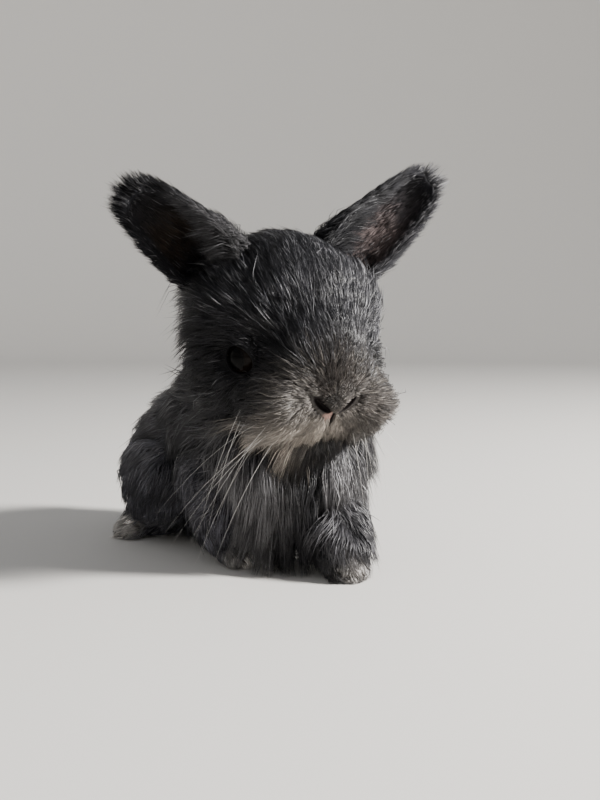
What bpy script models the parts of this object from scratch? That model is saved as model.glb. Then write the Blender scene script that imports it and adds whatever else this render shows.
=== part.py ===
"""An angora rabbit kit, about five weeks old, standing on its own feet: a still, life-size model.

Metres, +Z up. The body faces -Y, the animal's left side is +X, and the soles rest on z = 0.
The body is shaped whole, from masses blended into one surface, and is then parted by thin cuts
into the pieces that a person would name. Ears and eyeballs are shaped on their own. The wool is
flat, tapered locks, rooted in a core that lies at about half the coat's depth.
"""

import math
import random

import bmesh
import bpy
from mathutils import Matrix, Vector
from mathutils.bvhtree import BVHTree

GAP = 0.0003                # thin cut between two neighbouring pieces
ORIGIN = (0.0026, -0.0080, 0.0)    # what the whole rabbit is moved by, so that it stands centred
VOXEL = 0.0011              # grain at which the masses are blended
SMOOTHING = 10
# Points closer than this are one; the first value that leaves a surface closed is taken
MERGES = (0.00001, 0.000001, 0.0000001, 0.0)
DRAWS = 12                  # how many arrangements of the locks are tried for a closed surface
BODY_TRIANGLES = 2600
SHARP_ANGLE = math.radians(50)

# Masses of the trunk, out to the tips of the coat: centre and half sizes
RIBCAGE = ((0.000, -0.003, 0.046), (0.029, 0.040, 0.030))
CHEST = ((0.001, -0.029, 0.042), (0.026, 0.019, 0.026))
RUMP = ((0.000, 0.040, 0.032), (0.029, 0.036, 0.027))
NAPE = ((0.000, -0.012, 0.068), (0.024, 0.021, 0.020))
TAIL = ((0.000, 0.0745, 0.0290), (0.0090, 0.0130, 0.0095))
TAIL_REACH = 0.0170         # radius of the ball that the tail is cut out with
TAIL_CUT_CENTRE = (0.000, 0.0860, 0.0290)

# The head, in its own frame: x to the animal's left, -y forward, z up
HEAD_CENTRE = (-0.005, -0.033, 0.080)
HEAD_PITCH = math.radians(26)
HEAD_YAW = math.radians(-5)
HEAD_ROLL = math.radians(1)
CRANIUM = ((0.0000, 0.0050, 0.0010), (0.0310, 0.0320, 0.0290))
MUZZLE = ((0.0000, -0.0235, -0.0075), (0.0205, 0.0165, 0.0180))
MIDFACE = ((0.0000, -0.0130, -0.0065), (0.0250, 0.0180, 0.0185))
CHEEK = ((0.0180, -0.0050, -0.0085), (0.0150, 0.0195, 0.0175))
WHISKER_PAD = ((0.0115, -0.0275, -0.0100), (0.0130, 0.0115, 0.0110))
CHIN = ((0.0000, -0.0235, -0.0220), (0.0100, 0.0105, 0.0075))

# Where the head ends and where the neck ends: two points of each cut, on the midline
HEAD_CUT = ((-0.002, 0.076), (-0.039, 0.046))
NECK_CUT = ((0.009, 0.075), (-0.046, 0.036))
CUT_SIZE = 0.40

# Legs: joints from the body down, each with the radius of the coat there
FORELEG_LEFT = (((0.015, -0.022, 0.029), 0.0140), ((0.010, -0.040, 0.0135), 0.0125),
                ((0.0085, -0.049, 0.0065), 0.0100))
FORELEG_RIGHT = (((-0.0185, -0.008, 0.029), 0.0135), ((-0.0170, -0.0105, 0.0140), 0.0115),
                 ((-0.0155, -0.0155, 0.0065), 0.0095))
HIND_FOOT_LEFT = (((0.023, 0.052, 0.009), 0.0092), ((0.024, 0.028, 0.0065), 0.0085),
                  ((0.026, 0.015, 0.006), 0.0080))
HIND_FOOT_RIGHT = (((-0.001, 0.043, 0.009), 0.0092), ((-0.020, 0.0435, 0.0065), 0.0085),
                   ((-0.0285, 0.044, 0.006), 0.0080))
THIGH = ((0.0235, 0.034, 0.023), (0.0125, 0.0240, 0.0205))
LEGS = {
    "foreleg_left": (FORELEG_LEFT, 0),
    "foreleg_right": (FORELEG_RIGHT, 0),
    "hind_leg_left": (HIND_FOOT_LEFT, 1),
    "hind_leg_right": (HIND_FOOT_RIGHT, -1),
}
LEG_MARGIN = 0.0025         # how far a leg's cutting shape stands off its coat
TOES = 4
TOE_SPREAD = 0.0042         # from one toe to the next
TOE_FAN = math.radians(7)   # and the angle between them
TOE_AHEAD = 0.0055          # how far the toes lie ahead of the limb's last joint
TOE_STEP = 0.0010           # and how much less the outer ones do
TOE_HEIGHT = 0.0028
TOE_SIZE = (0.0030, 0.0052, 0.0034)
TOE_ZONE = (0.0113, 0.0097, 0.0073)

# Eyeballs, in the head's frame, and the lids round them
EYE_CENTRE = (0.0190, -0.0145, -0.0050)
EYEBALL = (0.0046, 0.0046, 0.0046)
EYE_HOLLOW = ((0.0305, -0.0180, -0.0045), (0.0095, 0.0080, 0.0066))
EYE_SLIT = ((0.0240, -0.0153, -0.0050), (0.0045, 0.0044, 0.0034))
LIDS = (0.0051, 0.0055, 0.0052)

# Nose and mouth, in the head's frame
NOSTRIL = ((0.0040, -0.0393, -0.0060), (0.0026, 0.0024, 0.0008))
NOSTRIL_TILT = math.radians(34)
PHILTRUM = ((0.0000, -0.0390, -0.0108), (0.0005, 0.0030, 0.0044))
MOUTH = ((0.0000, -0.0310, -0.0190), 0.0110, 0.0014)    # centre, radius and height of the slit
MOUTH_FLATNESS = 0.72       # its depth as a share of its breadth

# Ears, in the body's frame: root, tip and the way the cup opens
EAR_LEFT = ((0.0165, -0.0245, 0.0985), (0.0520, -0.0330, 0.1300), (-0.45, -0.85, -0.25))
EAR_RIGHT = ((-0.0235, -0.0245, 0.0970), (-0.0560, -0.0300, 0.1180), (-0.30, -0.85, -0.45))
EAR_THICKNESS = 0.0022
# Stations along an ear: share of its length, radius of the cup, half angle of the cup
EAR_STATIONS = ((-0.08, 0.0095, 140), (0.12, 0.0109, 116), (0.32, 0.0108, 96), (0.53, 0.0097, 82),
                (0.73, 0.0082, 72), (0.88, 0.0062, 66), (0.97, 0.0036, 62))
EAR_ACROSS = 8

# How far the core of each mass lies under the tips of its coat
TRUNK_DEPTH = 0.0040
HEAD_DEPTH = 0.0026
CHEEK_DEPTH = 0.0016
THIGH_DEPTH = 0.0032
LEG_DEPTH = 0.0018
TAIL_DEPTH = 0.0040

# Locks of each piece: distance between roots, length, breadth, thickness, height of the tips
TORSO_LOCKS = (0.0090, 0.0225, 0.0100, 0.0021, 0.0046)
HEAD_LOCKS = (0.0082, 0.0155, 0.0084, 0.0016, 0.0032)
FORELEG_LOCKS = (0.0092, 0.0140, 0.0090, 0.0017, 0.0026)
HIND_LEG_LOCKS = (0.0108, 0.0165, 0.0100, 0.0018, 0.0028)
TAIL_LOCKS = (0.0062, 0.0095, 0.0066, 0.0018, 0.0034)
EAR_LOCK = (0.0105, 0.0060, 0.0014)
# Rings of a lock: share of its length, breadth, thickness and height
LOCK_RINGS = ((0.00, 0.52, 0.90, 0.00), (0.30, 1.00, 1.00, 0.36), (0.67, 0.74, 0.72, 0.76),
              (1.00, 0.00, 0.00, 1.00))
ROOT_DEPTH = 0.0013
EAR_ROOT_DEPTH = 0.0007
CLEAR = 0.0006              # how far a lock keeps from its neighbours' cuts
LOCK_LIFTS = (1.0, 1.4, 1.9)  # how high a lock's tip is set to clear its neighbours
LOCK_TRIES = 12
SAG = 0.12                  # how far a free lock sinks, as a share of its length
SHORTER = 0.80              # by how much a lock that doesn't clear them is made shorter
NARROWER = 0.90             # and narrower
SWAY = math.radians(14)     # how far a lock may turn off the lie of the coat
# Locks of an ear: share of its length and place across, from edge to edge, -1 to 1
FRINGE = [(share, edge) for share in (0.36, 0.55, 0.73, 0.89) for edge in (1.0, -1.0)]
TIP_LOCK = (0.96, 0.0)
BACK_LOCKS = ((0.30, 0.0), (0.48, 0.5), (0.52, -0.5), (0.72, 0.0))
FRINGE_INSET = 0.97         # how near the rim the fringe is rooted
FRINGE_SPREAD = 0.42        # how far the fringe leans out, and how far the back's locks lift
FRINGE_LENGTH = 0.0085
BACK_LIFT = 0.16
EAR_CURL = 0.2
BARE_FACE = (-0.0230, 0.0165, -0.0155)  # in the head's frame: short coat in front, within, above
EYE_CLEARING = 0.0080
EAR_CLEARING = 0.0123
TOP_OF_TOES = 0.0075
# Where the lie of the coat turns: half breadth of the back, start and length of the chest, back,
# foot and spread of the forelock in the head's frame, and top and height of the feet
FLANK = 0.028
CHEST_START, CHEST_BLEND = -0.014, 0.020
FORELOCK_BACK, FORELOCK_FOOT, FORELOCK_SPREAD = 0.006, 0.006, 12.0
FOOT_TOP, FOOT_BLEND = 0.022, 0.014

COAT_COLOUR = (0.020, 0.021, 0.024)
EYE_COLOUR = (0.006, 0.005, 0.005)


def material(name, colour, roughness):
    """Returns a plain Principled material."""
    made = bpy.data.materials.new(name)
    made.use_nodes = True
    shader = made.node_tree.nodes["Principled BSDF"]
    shader.inputs["Base Color"].default_value = (*colour, 1.0)
    shader.inputs["Roughness"].default_value = roughness
    shader.inputs["Metallic"].default_value = 0.0
    return made


def mesh_object(name, bm):
    """Turns a bmesh into an object of the scene."""
    mesh = bpy.data.meshes.new(name)
    bm.to_mesh(mesh)
    bm.free()
    made = bpy.data.objects.new(name, mesh)
    bpy.context.scene.collection.objects.link(made)
    return made


def apply_modifiers(piece):
    """Makes what the modifiers give the mesh of the piece."""
    graph = bpy.context.evaluated_depsgraph_get()
    mesh = bpy.data.meshes.new_from_object(piece.evaluated_get(graph))
    piece.modifiers.clear()
    piece.data = mesh
    return piece


def mirrored(point, side):
    """Returns a point of the left side, or the like point of the right side."""
    return Vector((point[0] * side, point[1], point[2]))


def head_place():
    """Returns the matrix from the head's frame to the body's."""
    turn = Matrix.Rotation(HEAD_YAW, 4, "Z") @ Matrix.Rotation(HEAD_ROLL, 4, "Y")
    return Matrix.Translation(HEAD_CENTRE) @ turn @ Matrix.Rotation(HEAD_PITCH, 4, "X")


def add_ellipsoid(bm, centre, sizes, place=Matrix(), turn=Matrix(), detail=3, grow=0.0):
    """Adds an ellipsoid to bm, made larger by grow on every side."""
    scale = Matrix.Diagonal((*(size + grow for size in sizes), 1.0))
    matrix = place @ Matrix.Translation(centre) @ turn @ scale
    bmesh.ops.create_icosphere(bm, subdivisions=detail, radius=1.0, matrix=matrix)


def add_limb(bm, joints, detail=2, grow=0.0):
    """Adds a limb to bm: a rounded length from each joint to the next."""
    for pair in zip(joints, joints[1:]):
        length = bmesh.new()
        for centre, radius in pair:
            bmesh.ops.create_icosphere(length, subdivisions=detail, radius=radius + grow,
                                       matrix=Matrix.Translation(centre))
        points = [vertex.co.copy() for vertex in length.verts]
        length.clear()
        for point in points:
            length.verts.new(point)
        bmesh.ops.convex_hull(length, input=length.verts)
        bmesh.ops.delete(length, geom=[vertex for vertex in length.verts if not vertex.link_faces],
                         context="VERTS")
        mesh = bpy.data.meshes.new("length")
        length.to_mesh(mesh)
        length.free()
        bm.from_mesh(mesh)
        bpy.data.meshes.remove(mesh)


def toes(joints):
    """Returns the centre and the turn of each toe at the end of a limb."""
    before, end = Vector(joints[-2][0]), Vector(joints[-1][0])
    ahead = (end - before)
    ahead.z = 0.0
    ahead.normalize()
    across = Vector((-ahead.y, ahead.x, 0.0))
    found = []
    for number in range(TOES):
        place = number - (TOES - 1) / 2
        centre = end + ahead * (TOE_AHEAD - TOE_STEP * abs(place)) + across * TOE_SPREAD * place
        centre.z = TOE_HEIGHT
        fan = math.atan2(-ahead.x, ahead.y) - TOE_FAN * place
        found.append((centre, Matrix.Rotation(fan, 4, "Z")))
    return found


def add_paw(bm, joints):
    """Adds the toes of a limb to bm."""
    for centre, turn in toes(joints):
        add_ellipsoid(bm, centre, TOE_SIZE, turn=turn, detail=2)


def blended(name, bm, triangles):
    """Blends the closed shapes in bm into one smooth surface of so many triangles."""
    body = mesh_object(name, bm)
    remesh = body.modifiers.new("blend", "REMESH")
    remesh.mode = "VOXEL"
    remesh.voxel_size = VOXEL
    smooth = body.modifiers.new("soften", "SMOOTH")
    smooth.iterations = SMOOTHING
    smooth.factor = 0.5
    apply_modifiers(body)
    faces = sum(len(face.vertices) - 2 for face in body.data.polygons)
    thin = body.modifiers.new("thin", "DECIMATE")
    thin.ratio = triangles / faces
    return apply_modifiers(body)


def whole_body():
    """Returns the trunk, head, legs and tail as one closed surface."""
    bm = bmesh.new()
    for centre, sizes in (RIBCAGE, CHEST, RUMP, NAPE):
        add_ellipsoid(bm, centre, sizes, grow=-TRUNK_DEPTH)
    add_ellipsoid(bm, TAIL[0], TAIL[1], grow=-TAIL_DEPTH)
    head = head_place()
    for centre, sizes in (CRANIUM, MIDFACE):
        add_ellipsoid(bm, centre, sizes, place=head, grow=-HEAD_DEPTH)
    for centre, sizes in (MUZZLE, CHIN):
        add_ellipsoid(bm, centre, sizes, place=head)
    for side in (1, -1):
        add_ellipsoid(bm, mirrored(CHEEK[0], side), CHEEK[1], place=head, grow=-CHEEK_DEPTH)
        add_ellipsoid(bm, mirrored(WHISKER_PAD[0], side), WHISKER_PAD[1], place=head)
        add_ellipsoid(bm, mirrored(THIGH[0], side), THIGH[1], grow=-THIGH_DEPTH)
    for joints in (FORELEG_LEFT, FORELEG_RIGHT, HIND_FOOT_LEFT, HIND_FOOT_RIGHT):
        add_limb(bm, joints, grow=-LEG_DEPTH)
        add_paw(bm, joints)
    return blended("body", bm, BODY_TRIANGLES)


def cut_plane(points):
    """Returns a point of a cut, the way along it and the way to its head's side."""
    (back_y, back_z), (front_y, front_z) = points
    back = Vector((0.0, back_y, back_z))
    along = (Vector((0.0, front_y, front_z)) - back).normalized()
    return back, along, Vector((0.0, along.z, -along.y))


def half_space(name, points, offset):
    """Returns a block on the head's side of a cut, whose face stands off the cut by offset."""
    back, along, up = cut_plane(points)
    across = Vector((1.0, 0.0, 0.0))
    turn = Matrix((across, -along, up)).transposed().to_4x4()
    centre = back + up * (CUT_SIZE / 2 + offset)
    bm = bmesh.new()
    bmesh.ops.create_cube(bm, size=CUT_SIZE, matrix=Matrix.Translation(centre) @ turn)
    return mesh_object(name, bm)


def above_floor(name):
    """Returns a block whose underside is the floor."""
    bm = bmesh.new()
    bmesh.ops.create_cube(bm, size=CUT_SIZE, matrix=Matrix.Translation((0.0, 0.0, CUT_SIZE / 2)))
    return mesh_object(name, bm)


def leg_zone(name, joints, side, grow):
    """Returns the shape that a leg is cut out with; a side gives it the thigh of that side."""
    pieces = []
    for pair in zip(joints, joints[1:]):
        bm = bmesh.new()
        add_limb(bm, pair, detail=2, grow=LEG_MARGIN + grow)
        pieces.append(mesh_object(name, bm))
    centre, turn = toes(joints)[1]
    bm = bmesh.new()
    add_ellipsoid(bm, centre, TOE_ZONE, turn=turn, detail=2, grow=grow)
    pieces.append(mesh_object(name + "_toes", bm))
    if side:
        bm = bmesh.new()
        add_ellipsoid(bm, mirrored(THIGH[0], side), THIGH[1], detail=2, grow=LEG_MARGIN + grow)
        pieces.append(mesh_object(name + "_thigh", bm))
    return pieces


def tail_zone(name, grow):
    """Returns the ball that the tail is cut out with."""
    bm = bmesh.new()
    bmesh.ops.create_icosphere(bm, subdivisions=2, radius=TAIL_REACH + grow,
                               matrix=Matrix.Translation(TAIL_CUT_CENTRE))
    return [mesh_object(name, bm)]


def copy_of(piece, name):
    """Returns a copy of a piece with a mesh of its own."""
    made = piece.copy()
    made.data = piece.data.copy()
    made.name = name
    bpy.context.scene.collection.objects.link(made)
    return made


def combine(piece, others, operation, solver="EXACT"):
    """Joins, cuts or clips a piece with closed shapes, which are then removed."""
    group = bpy.data.collections.new("group")
    for other in others:
        group.objects.link(other)
    boolean = piece.modifiers.new("combine", "BOOLEAN")
    boolean.operation = operation
    boolean.operand_type = "COLLECTION"
    boolean.collection = group
    boolean.solver = solver
    apply_modifiers(piece)
    for other in others:
        bpy.data.objects.remove(other)
    bpy.data.collections.remove(group)
    return piece


def joined(shapes):
    """Returns one closed shape made of overlapping closed shapes."""
    if len(shapes) == 1:
        return shapes[0]
    return combine(shapes[0], shapes[1:], "UNION")


def surfaces_of(bm):
    """Returns the separate surfaces in bm as sets of faces, the largest last."""
    left = set(bm.faces)
    surfaces = []
    while left:
        surface = set()
        front = [left.pop()]
        while front:
            face = front.pop()
            surface.add(face)
            for edge in face.edges:
                for near in edge.link_faces:
                    if near in left:
                        left.remove(near)
                        front.append(near)
        surfaces.append(surface)
    surfaces.sort(key=lambda surface: sum(face.calc_area() for face in surface))
    return surfaces


def is_closed(bm):
    """Tells whether bm is a closed surface that touches itself nowhere."""
    return (all(edge.is_manifold for edge in bm.edges)
            and all(point.is_manifold for point in bm.verts))


def largest_surface(piece):
    """Keeps only the largest closed surface of a piece and tells whether it is whole."""
    for merge in MERGES:
        bm = bmesh.new()
        bm.from_mesh(piece.data)
        bmesh.ops.remove_doubles(bm, verts=bm.verts, dist=merge)
        bmesh.ops.triangulate(bm, faces=bm.faces)
        for surface in surfaces_of(bm)[:-1]:
            bmesh.ops.delete(bm, geom=list(surface), context="FACES")
        whole = is_closed(bm)
        if whole or merge == MERGES[-1]:
            bmesh.ops.recalc_face_normals(bm, faces=bm.faces)
            bm.to_mesh(piece.data)
        bm.free()
        if whole:
            return True
    return False


def cut_head(body):
    """Returns the head: the front of the body, with sockets, lids, nostrils and mouth."""
    head = copy_of(body, "head")
    combine(head, [half_space("front", HEAD_CUT, 0.0)], "INTERSECT")
    place = head_place()
    hollows = []
    lids = []
    sockets = []
    for side in (1, -1):
        bm = bmesh.new()
        add_ellipsoid(bm, mirrored(EYE_HOLLOW[0], side), EYE_HOLLOW[1], place=place, detail=1)
        hollows.append(mesh_object("hollow", bm))
        bm = bmesh.new()
        add_ellipsoid(bm, mirrored(EYE_CENTRE, side), LIDS, place=place, detail=2)
        lids.append(mesh_object("lids", bm))
        bm = bmesh.new()
        add_ellipsoid(bm, mirrored(EYE_CENTRE, side), EYEBALL, place=place, detail=2, grow=GAP)
        sockets.append(mesh_object("socket", bm))
        bm = bmesh.new()
        add_ellipsoid(bm, mirrored(EYE_SLIT[0], side), EYE_SLIT[1], place=place, detail=2)
        sockets.append(mesh_object("slit", bm))
    combine(head, hollows, "DIFFERENCE")
    combine(head, lids, "UNION")
    combine(head, sockets, "DIFFERENCE")
    combine(head, nose_and_mouth(place), "DIFFERENCE")
    largest_surface(head)
    return head


def nose_and_mouth(place):
    """Returns the cutters of the nostrils, the cleft of the lip and the line of the mouth."""
    cutters = []
    for side in (1, -1):
        bm = bmesh.new()
        turn = Matrix.Rotation(-NOSTRIL_TILT * side, 4, "Y")
        add_ellipsoid(bm, mirrored(NOSTRIL[0], side), NOSTRIL[1], place=place, turn=turn, detail=1)
        cutters.append(mesh_object("nostril", bm))
    bm = bmesh.new()
    add_ellipsoid(bm, PHILTRUM[0], PHILTRUM[1], place=place, detail=1)
    cutters.append(mesh_object("cleft", bm))
    centre, radius, height = MOUTH
    bm = bmesh.new()
    matrix = place @ Matrix.Translation(centre) @ Matrix.Diagonal((1.0, MOUTH_FLATNESS, 1.0, 1.0))
    bmesh.ops.create_cone(bm, cap_ends=True, segments=16, radius1=radius, radius2=radius,
                          depth=height, matrix=matrix)
    cutters.append(mesh_object("mouth", bm))
    return cutters


def cut_neck(body):
    """Returns the neck: the slice of the body between the two cuts."""
    neck = copy_of(body, "neck")
    combine(neck, [half_space("front", HEAD_CUT, -GAP)], "DIFFERENCE")
    combine(neck, [half_space("front", NECK_CUT, 0.0)], "INTERSECT")
    largest_surface(neck)
    return neck


def cut_limb(body, name, zone):
    """Returns the part of the body that lies in a zone, standing on the floor."""
    limb = copy_of(body, name)
    combine(limb, [joined(zone)], "INTERSECT")
    combine(limb, [above_floor("floor")], "INTERSECT")
    largest_surface(limb)
    return limb


def cut_torso(body, zones):
    """Returns the trunk: what is left once the head, neck, legs and tail are taken away."""
    torso = copy_of(body, "torso")
    combine(torso, [half_space("front", NECK_CUT, -GAP)], "DIFFERENCE")
    combine(torso, [half_space("front", HEAD_CUT, -GAP)], "DIFFERENCE")
    combine(torso, zones, "DIFFERENCE")
    largest_surface(torso)
    return torso


def ear(name, places):
    """Returns an ear: a cupped leaf, fitted on the head with a thin gap."""
    root, tip, opening = (Vector(place) for place in places)
    along = (tip - root).normalized()
    opening = (opening - along * opening.dot(along)).normalized()
    across = along.cross(opening)
    bm = bmesh.new()
    rows = []
    for share, radius, half_angle in EAR_STATIONS:
        centre = root + (tip - root) * share
        row = []
        for number in range(EAR_ACROSS):
            angle = math.radians(half_angle) * (2 * number / (EAR_ACROSS - 1) - 1)
            out = across * math.sin(angle) - opening * math.cos(angle)
            row.append(bm.verts.new(centre + out * radius))
        rows.append(row)
    for row, above in zip(rows, rows[1:]):
        for number in range(EAR_ACROSS - 1):
            bm.faces.new((row[number], row[number + 1], above[number + 1], above[number]))
    bmesh.ops.recalc_face_normals(bm, faces=bm.faces)
    made = mesh_object(name, bm)
    shell = made.modifiers.new("shell", "SOLIDIFY")
    shell.thickness = EAR_THICKNESS
    shell.offset = 0.0
    apply_modifiers(made)
    head = head_place()
    bm = bmesh.new()
    add_ellipsoid(bm, CRANIUM[0], CRANIUM[1], place=head, grow=GAP)
    combine(made, [mesh_object("skull", bm)], "DIFFERENCE")
    largest_surface(made)
    combine(made, fringe(made.name, root, tip, opening, across), "UNION", "MANIFOLD")
    largest_surface(made)
    return made


def ear_station(share):
    """Returns the radius and the half angle of an ear's cup at a share of its length."""
    for (low, low_radius, low_angle), (high, high_radius, high_angle) in zip(EAR_STATIONS,
                                                                             EAR_STATIONS[1:]):
        if share <= high:
            part = (share - low) / (high - low)
            angle = low_angle + (high_angle - low_angle) * part
            return low_radius + (high_radius - low_radius) * part, math.radians(angle)
    return EAR_STATIONS[-1][1], math.radians(EAR_STATIONS[-1][2])


def fringe(name, root, tip, opening, across):
    """Returns the locks along both edges of an ear, over its tip and down its back."""
    draw = random.Random(name)
    length, breadth, thickness = EAR_LOCK
    along = (tip - root).normalized()
    locks = []
    for share, edge in (*FRINGE, TIP_LOCK, *BACK_LOCKS):
        radius, half_angle = ear_station(share)
        if (share, edge) in BACK_LOCKS:
            angle = half_angle * edge
            inset, way, long = 0.0, along, length
        else:
            angle = half_angle * edge * FRINGE_INSET
            rimward = (across * math.cos(angle) + opening * math.sin(angle)) * edge
            inset, way, long = 2 * EAR_ROOT_DEPTH, along + rimward * FRINGE_SPREAD, FRINGE_LENGTH
        out = across * math.sin(angle) - opening * math.cos(angle)
        if not inset:
            way = way + out * BACK_LIFT
        start = root + (tip - root) * share + out * radius - way * inset
        long *= draw.uniform(0.80, 1.25)
        curl = out * draw.uniform(-0.10, 0.25) + along * EAR_CURL
        path = [start + (way + curl * ring[0]) * long * ring[0] for ring in LOCK_RINGS]
        rings, end = lock_rings(path, [out] * len(path), breadth, thickness)
        locks.append(lock(rings, end))
    return locks


def eye(name, side):
    """Returns an eyeball."""
    bm = bmesh.new()
    add_ellipsoid(bm, mirrored(EYE_CENTRE, side), EYEBALL, place=head_place(), detail=2)
    return mesh_object(name, bm)


def over_cut(point, points):
    """Returns how far a point stands off a cut, on the head's side of it."""
    back, along, up = cut_plane(points)
    return (point - back).dot(up)


def inside_ellipsoid(point, centre, sizes):
    """Returns at least how deep a point lies in an ellipsoid, or minus that outside it."""
    offset = point - Vector(centre)
    share = Vector([offset[axis] / sizes[axis] for axis in range(3)]).length
    return (1.0 - share) * min(sizes)


def inside_leg(point, joints, side):
    """Returns how deep a point lies in the shape that a leg is cut out with."""
    depths = []
    for (start, start_radius), (end, end_radius) in zip(joints, joints[1:]):
        start, along = Vector(start), Vector(end) - Vector(start)
        share = min(1.0, max(0.0, (point - start).dot(along) / along.length_squared))
        radius = start_radius + (end_radius - start_radius) * share + LEG_MARGIN
        depths.append(radius - (point - start - along * share).length)
    centre, turn = toes(joints)[1]
    depths.append(inside_ellipsoid(turn.inverted() @ (point - centre), (0.0, 0.0, 0.0), TOE_ZONE))
    if side:
        sizes = [size + LEG_MARGIN for size in THIGH[1]]
        depths.append(inside_ellipsoid(point, mirrored(THIGH[0], side), sizes))
    return max(depths)


def inside_tail(point):
    """Returns how deep a point lies in the ball that the tail is cut out with."""
    return TAIL_REACH - (point - Vector(TAIL_CUT_CENTRE)).length


def surface_of(piece):
    """Returns a search tree of a piece's surface."""
    bm = bmesh.new()
    bm.from_mesh(piece.data)
    tree = BVHTree.FromBMesh(bm)
    bm.free()
    return tree


def outside(point, tree):
    """Returns how far a point lies outside a closed surface, negative inside it."""
    near, normal, index, distance = tree.find_nearest(point)
    return distance if (point - near).dot(normal) > 0.0 else -distance


def spread(piece, spacing, draw, bare):
    """Returns points spread evenly over a piece, with their normals, but none where it is bare."""
    triangles = []
    areas = []
    piece.data.calc_loop_triangles()
    for triangle in piece.data.loop_triangles:
        triangles.append([piece.data.vertices[index].co for index in triangle.vertices])
        areas.append(triangle.area)
    found = []
    candidates = int(16 * sum(areas) / spacing ** 2)
    for corners in draw.choices(triangles, weights=areas, k=candidates):
        first, second = sorted((draw.random(), draw.random()))
        point = (corners[0] * first + corners[1] * (second - first) + corners[2] * (1 - second))
        if bare(point):
            continue
        if all((point - other).length > spacing for other, normal in found):
            normal = (corners[1] - corners[0]).cross(corners[2] - corners[0]).normalized()
            found.append((point, normal))
    return found


def lock_rings(path, normals, breadth, thickness):
    """Returns the rings of a lock along a path, four points each, and its tip."""
    rings = []
    for number, ring in enumerate(LOCK_RINGS[:-1]):
        ahead = path[number + 1] - path[max(0, number - 1)]
        across = normals[number].cross(ahead).normalized() * breadth * ring[1] / 2
        up = across.cross(ahead).normalized() * -thickness * ring[2] / 2
        centre = path[number]
        rings.append([centre + across, centre + up, centre - across, centre - up])
    return rings, path[-1]


def lock(rings, tip):
    """Returns a lock: a closed, flat, tapered shape."""
    bm = bmesh.new()
    made = [[bm.verts.new(point) for point in ring] for ring in rings]
    end = bm.verts.new(tip)
    bm.faces.new(made[0])
    for ring, above in zip(made, made[1:]):
        for number in range(4):
            after = (number + 1) % 4
            bm.faces.new((ring[number], ring[after], above[after], above[number]))
    for number in range(4):
        bm.faces.new((made[-1][number], made[-1][(number + 1) % 4], end))
    bmesh.ops.triangulate(bm, faces=bm.faces)
    bmesh.ops.recalc_face_normals(bm, faces=bm.faces)
    return mesh_object("lock", bm)


def bent_path(root, normal, lie, tree, length, rise, turn):
    """Returns the points of a lock that leaves a surface and bends over along the coat's lie."""
    path = [root - normal * ROOT_DEPTH]
    normals = [normal]
    place, up = root, normal
    heading = None
    for below, ring in zip(LOCK_RINGS, LOCK_RINGS[1:]):
        share, height = ring[0], ring[3]
        way, free = lie(place)
        ahead = (way - up * way.dot(up)).normalized()
        ahead.rotate(Matrix.Rotation(turn, 3, up))
        step = length * (share - below[0])
        heading = heading or ahead.lerp(way.normalized(), max(0.0, 2 * free - 1)).normalized()
        place, up = tree.find_nearest(place + ahead * step)[:2]
        close = place + up * rise * height
        loose = root + heading * length * share + normal * rise * height
        loose.z -= SAG * length * share ** 2
        path.append(close.lerp(loose, free * share))
        normals.append(up)
    return path, normals


def locks_for(piece, sizes, lie, tree, kept, rooted, draw):
    """Returns the locks of a piece, each short enough for all of it to stay where it is kept."""
    spacing, length, breadth, thickness, rise = sizes
    locks = []
    for root, normal in spread(piece, spacing, draw, lambda point: not rooted(point)):
        long = length * draw.uniform(0.82, 1.18)
        wide = breadth * draw.uniform(0.86, 1.14)
        high = rise * draw.uniform(0.80, 1.25)
        turn = draw.uniform(-SWAY, SWAY)
        for attempt in range(LOCK_TRIES):
            cuts, lifted = divmod(attempt, len(LOCK_LIFTS))
            path, normals = bent_path(root, normal, lie, tree, long * SHORTER ** cuts,
                                      high * LOCK_LIFTS[lifted], turn)
            rings, tip = lock_rings(path, normals, wide * NARROWER ** cuts, thickness)
            points = [point for ring in rings for point in ring] + [tip]
            points += [(low + up) / 2 for ring, above in zip(rings, rings[1:])
                       for low, up in zip(ring, above)]
            if all(kept(point) for point in points):
                locks.append(lock(rings, tip))
                break
    return locks


def coat(piece, sizes, lie, tree, kept, rooted):
    """Fuses locks to a piece, in the first arrangement that gives one whole surface."""
    bare = piece.data.copy()
    for number in range(DRAWS):
        piece.data = bare.copy()
        draw = random.Random(f"{piece.name} {number}")
        locks = locks_for(piece, sizes, lie, tree, kept, rooted, draw)
        combine(piece, locks, "UNION", "MANIFOLD")
        whole = largest_surface(piece)
        if whole:
            break


def lie_of_trunk(point):
    """Returns the coat's lie on the trunk, back along it, down its sides, hanging on the chest,
    and how far the locks hang free there, from 0 to 1."""
    side = min(1.0, abs(point.x) / FLANK)
    chest = min(1.0, max(0.0, (CHEST_START - point.y) / CHEST_BLEND))
    way = Vector((0.0, (1.0 - chest) * (1.0 - 0.45 * side), -0.25 - 0.50 * side - 0.90 * chest))
    return way, 0.40 + 0.55 * chest


def lie_of_head(point):
    """Returns the coat's lie on the head: the forelock falls forward, the rest back and down."""
    place = head_place()
    local = place.inverted() @ point
    if local.y > FORELOCK_BACK:
        way = Vector((0.0, 0.70, -0.70))
    elif local.z > FORELOCK_FOOT:
        way = Vector((local.x * FORELOCK_SPREAD, -1.0, -0.45))
    else:
        way = Vector((0.0, 0.40, -0.90))
    return place.to_3x3() @ way, 0.30


def lie_of_tail(point):
    """Returns the coat's lie on the tail."""
    return Vector((0.0, 1.0, 0.25)), 0.30


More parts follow.
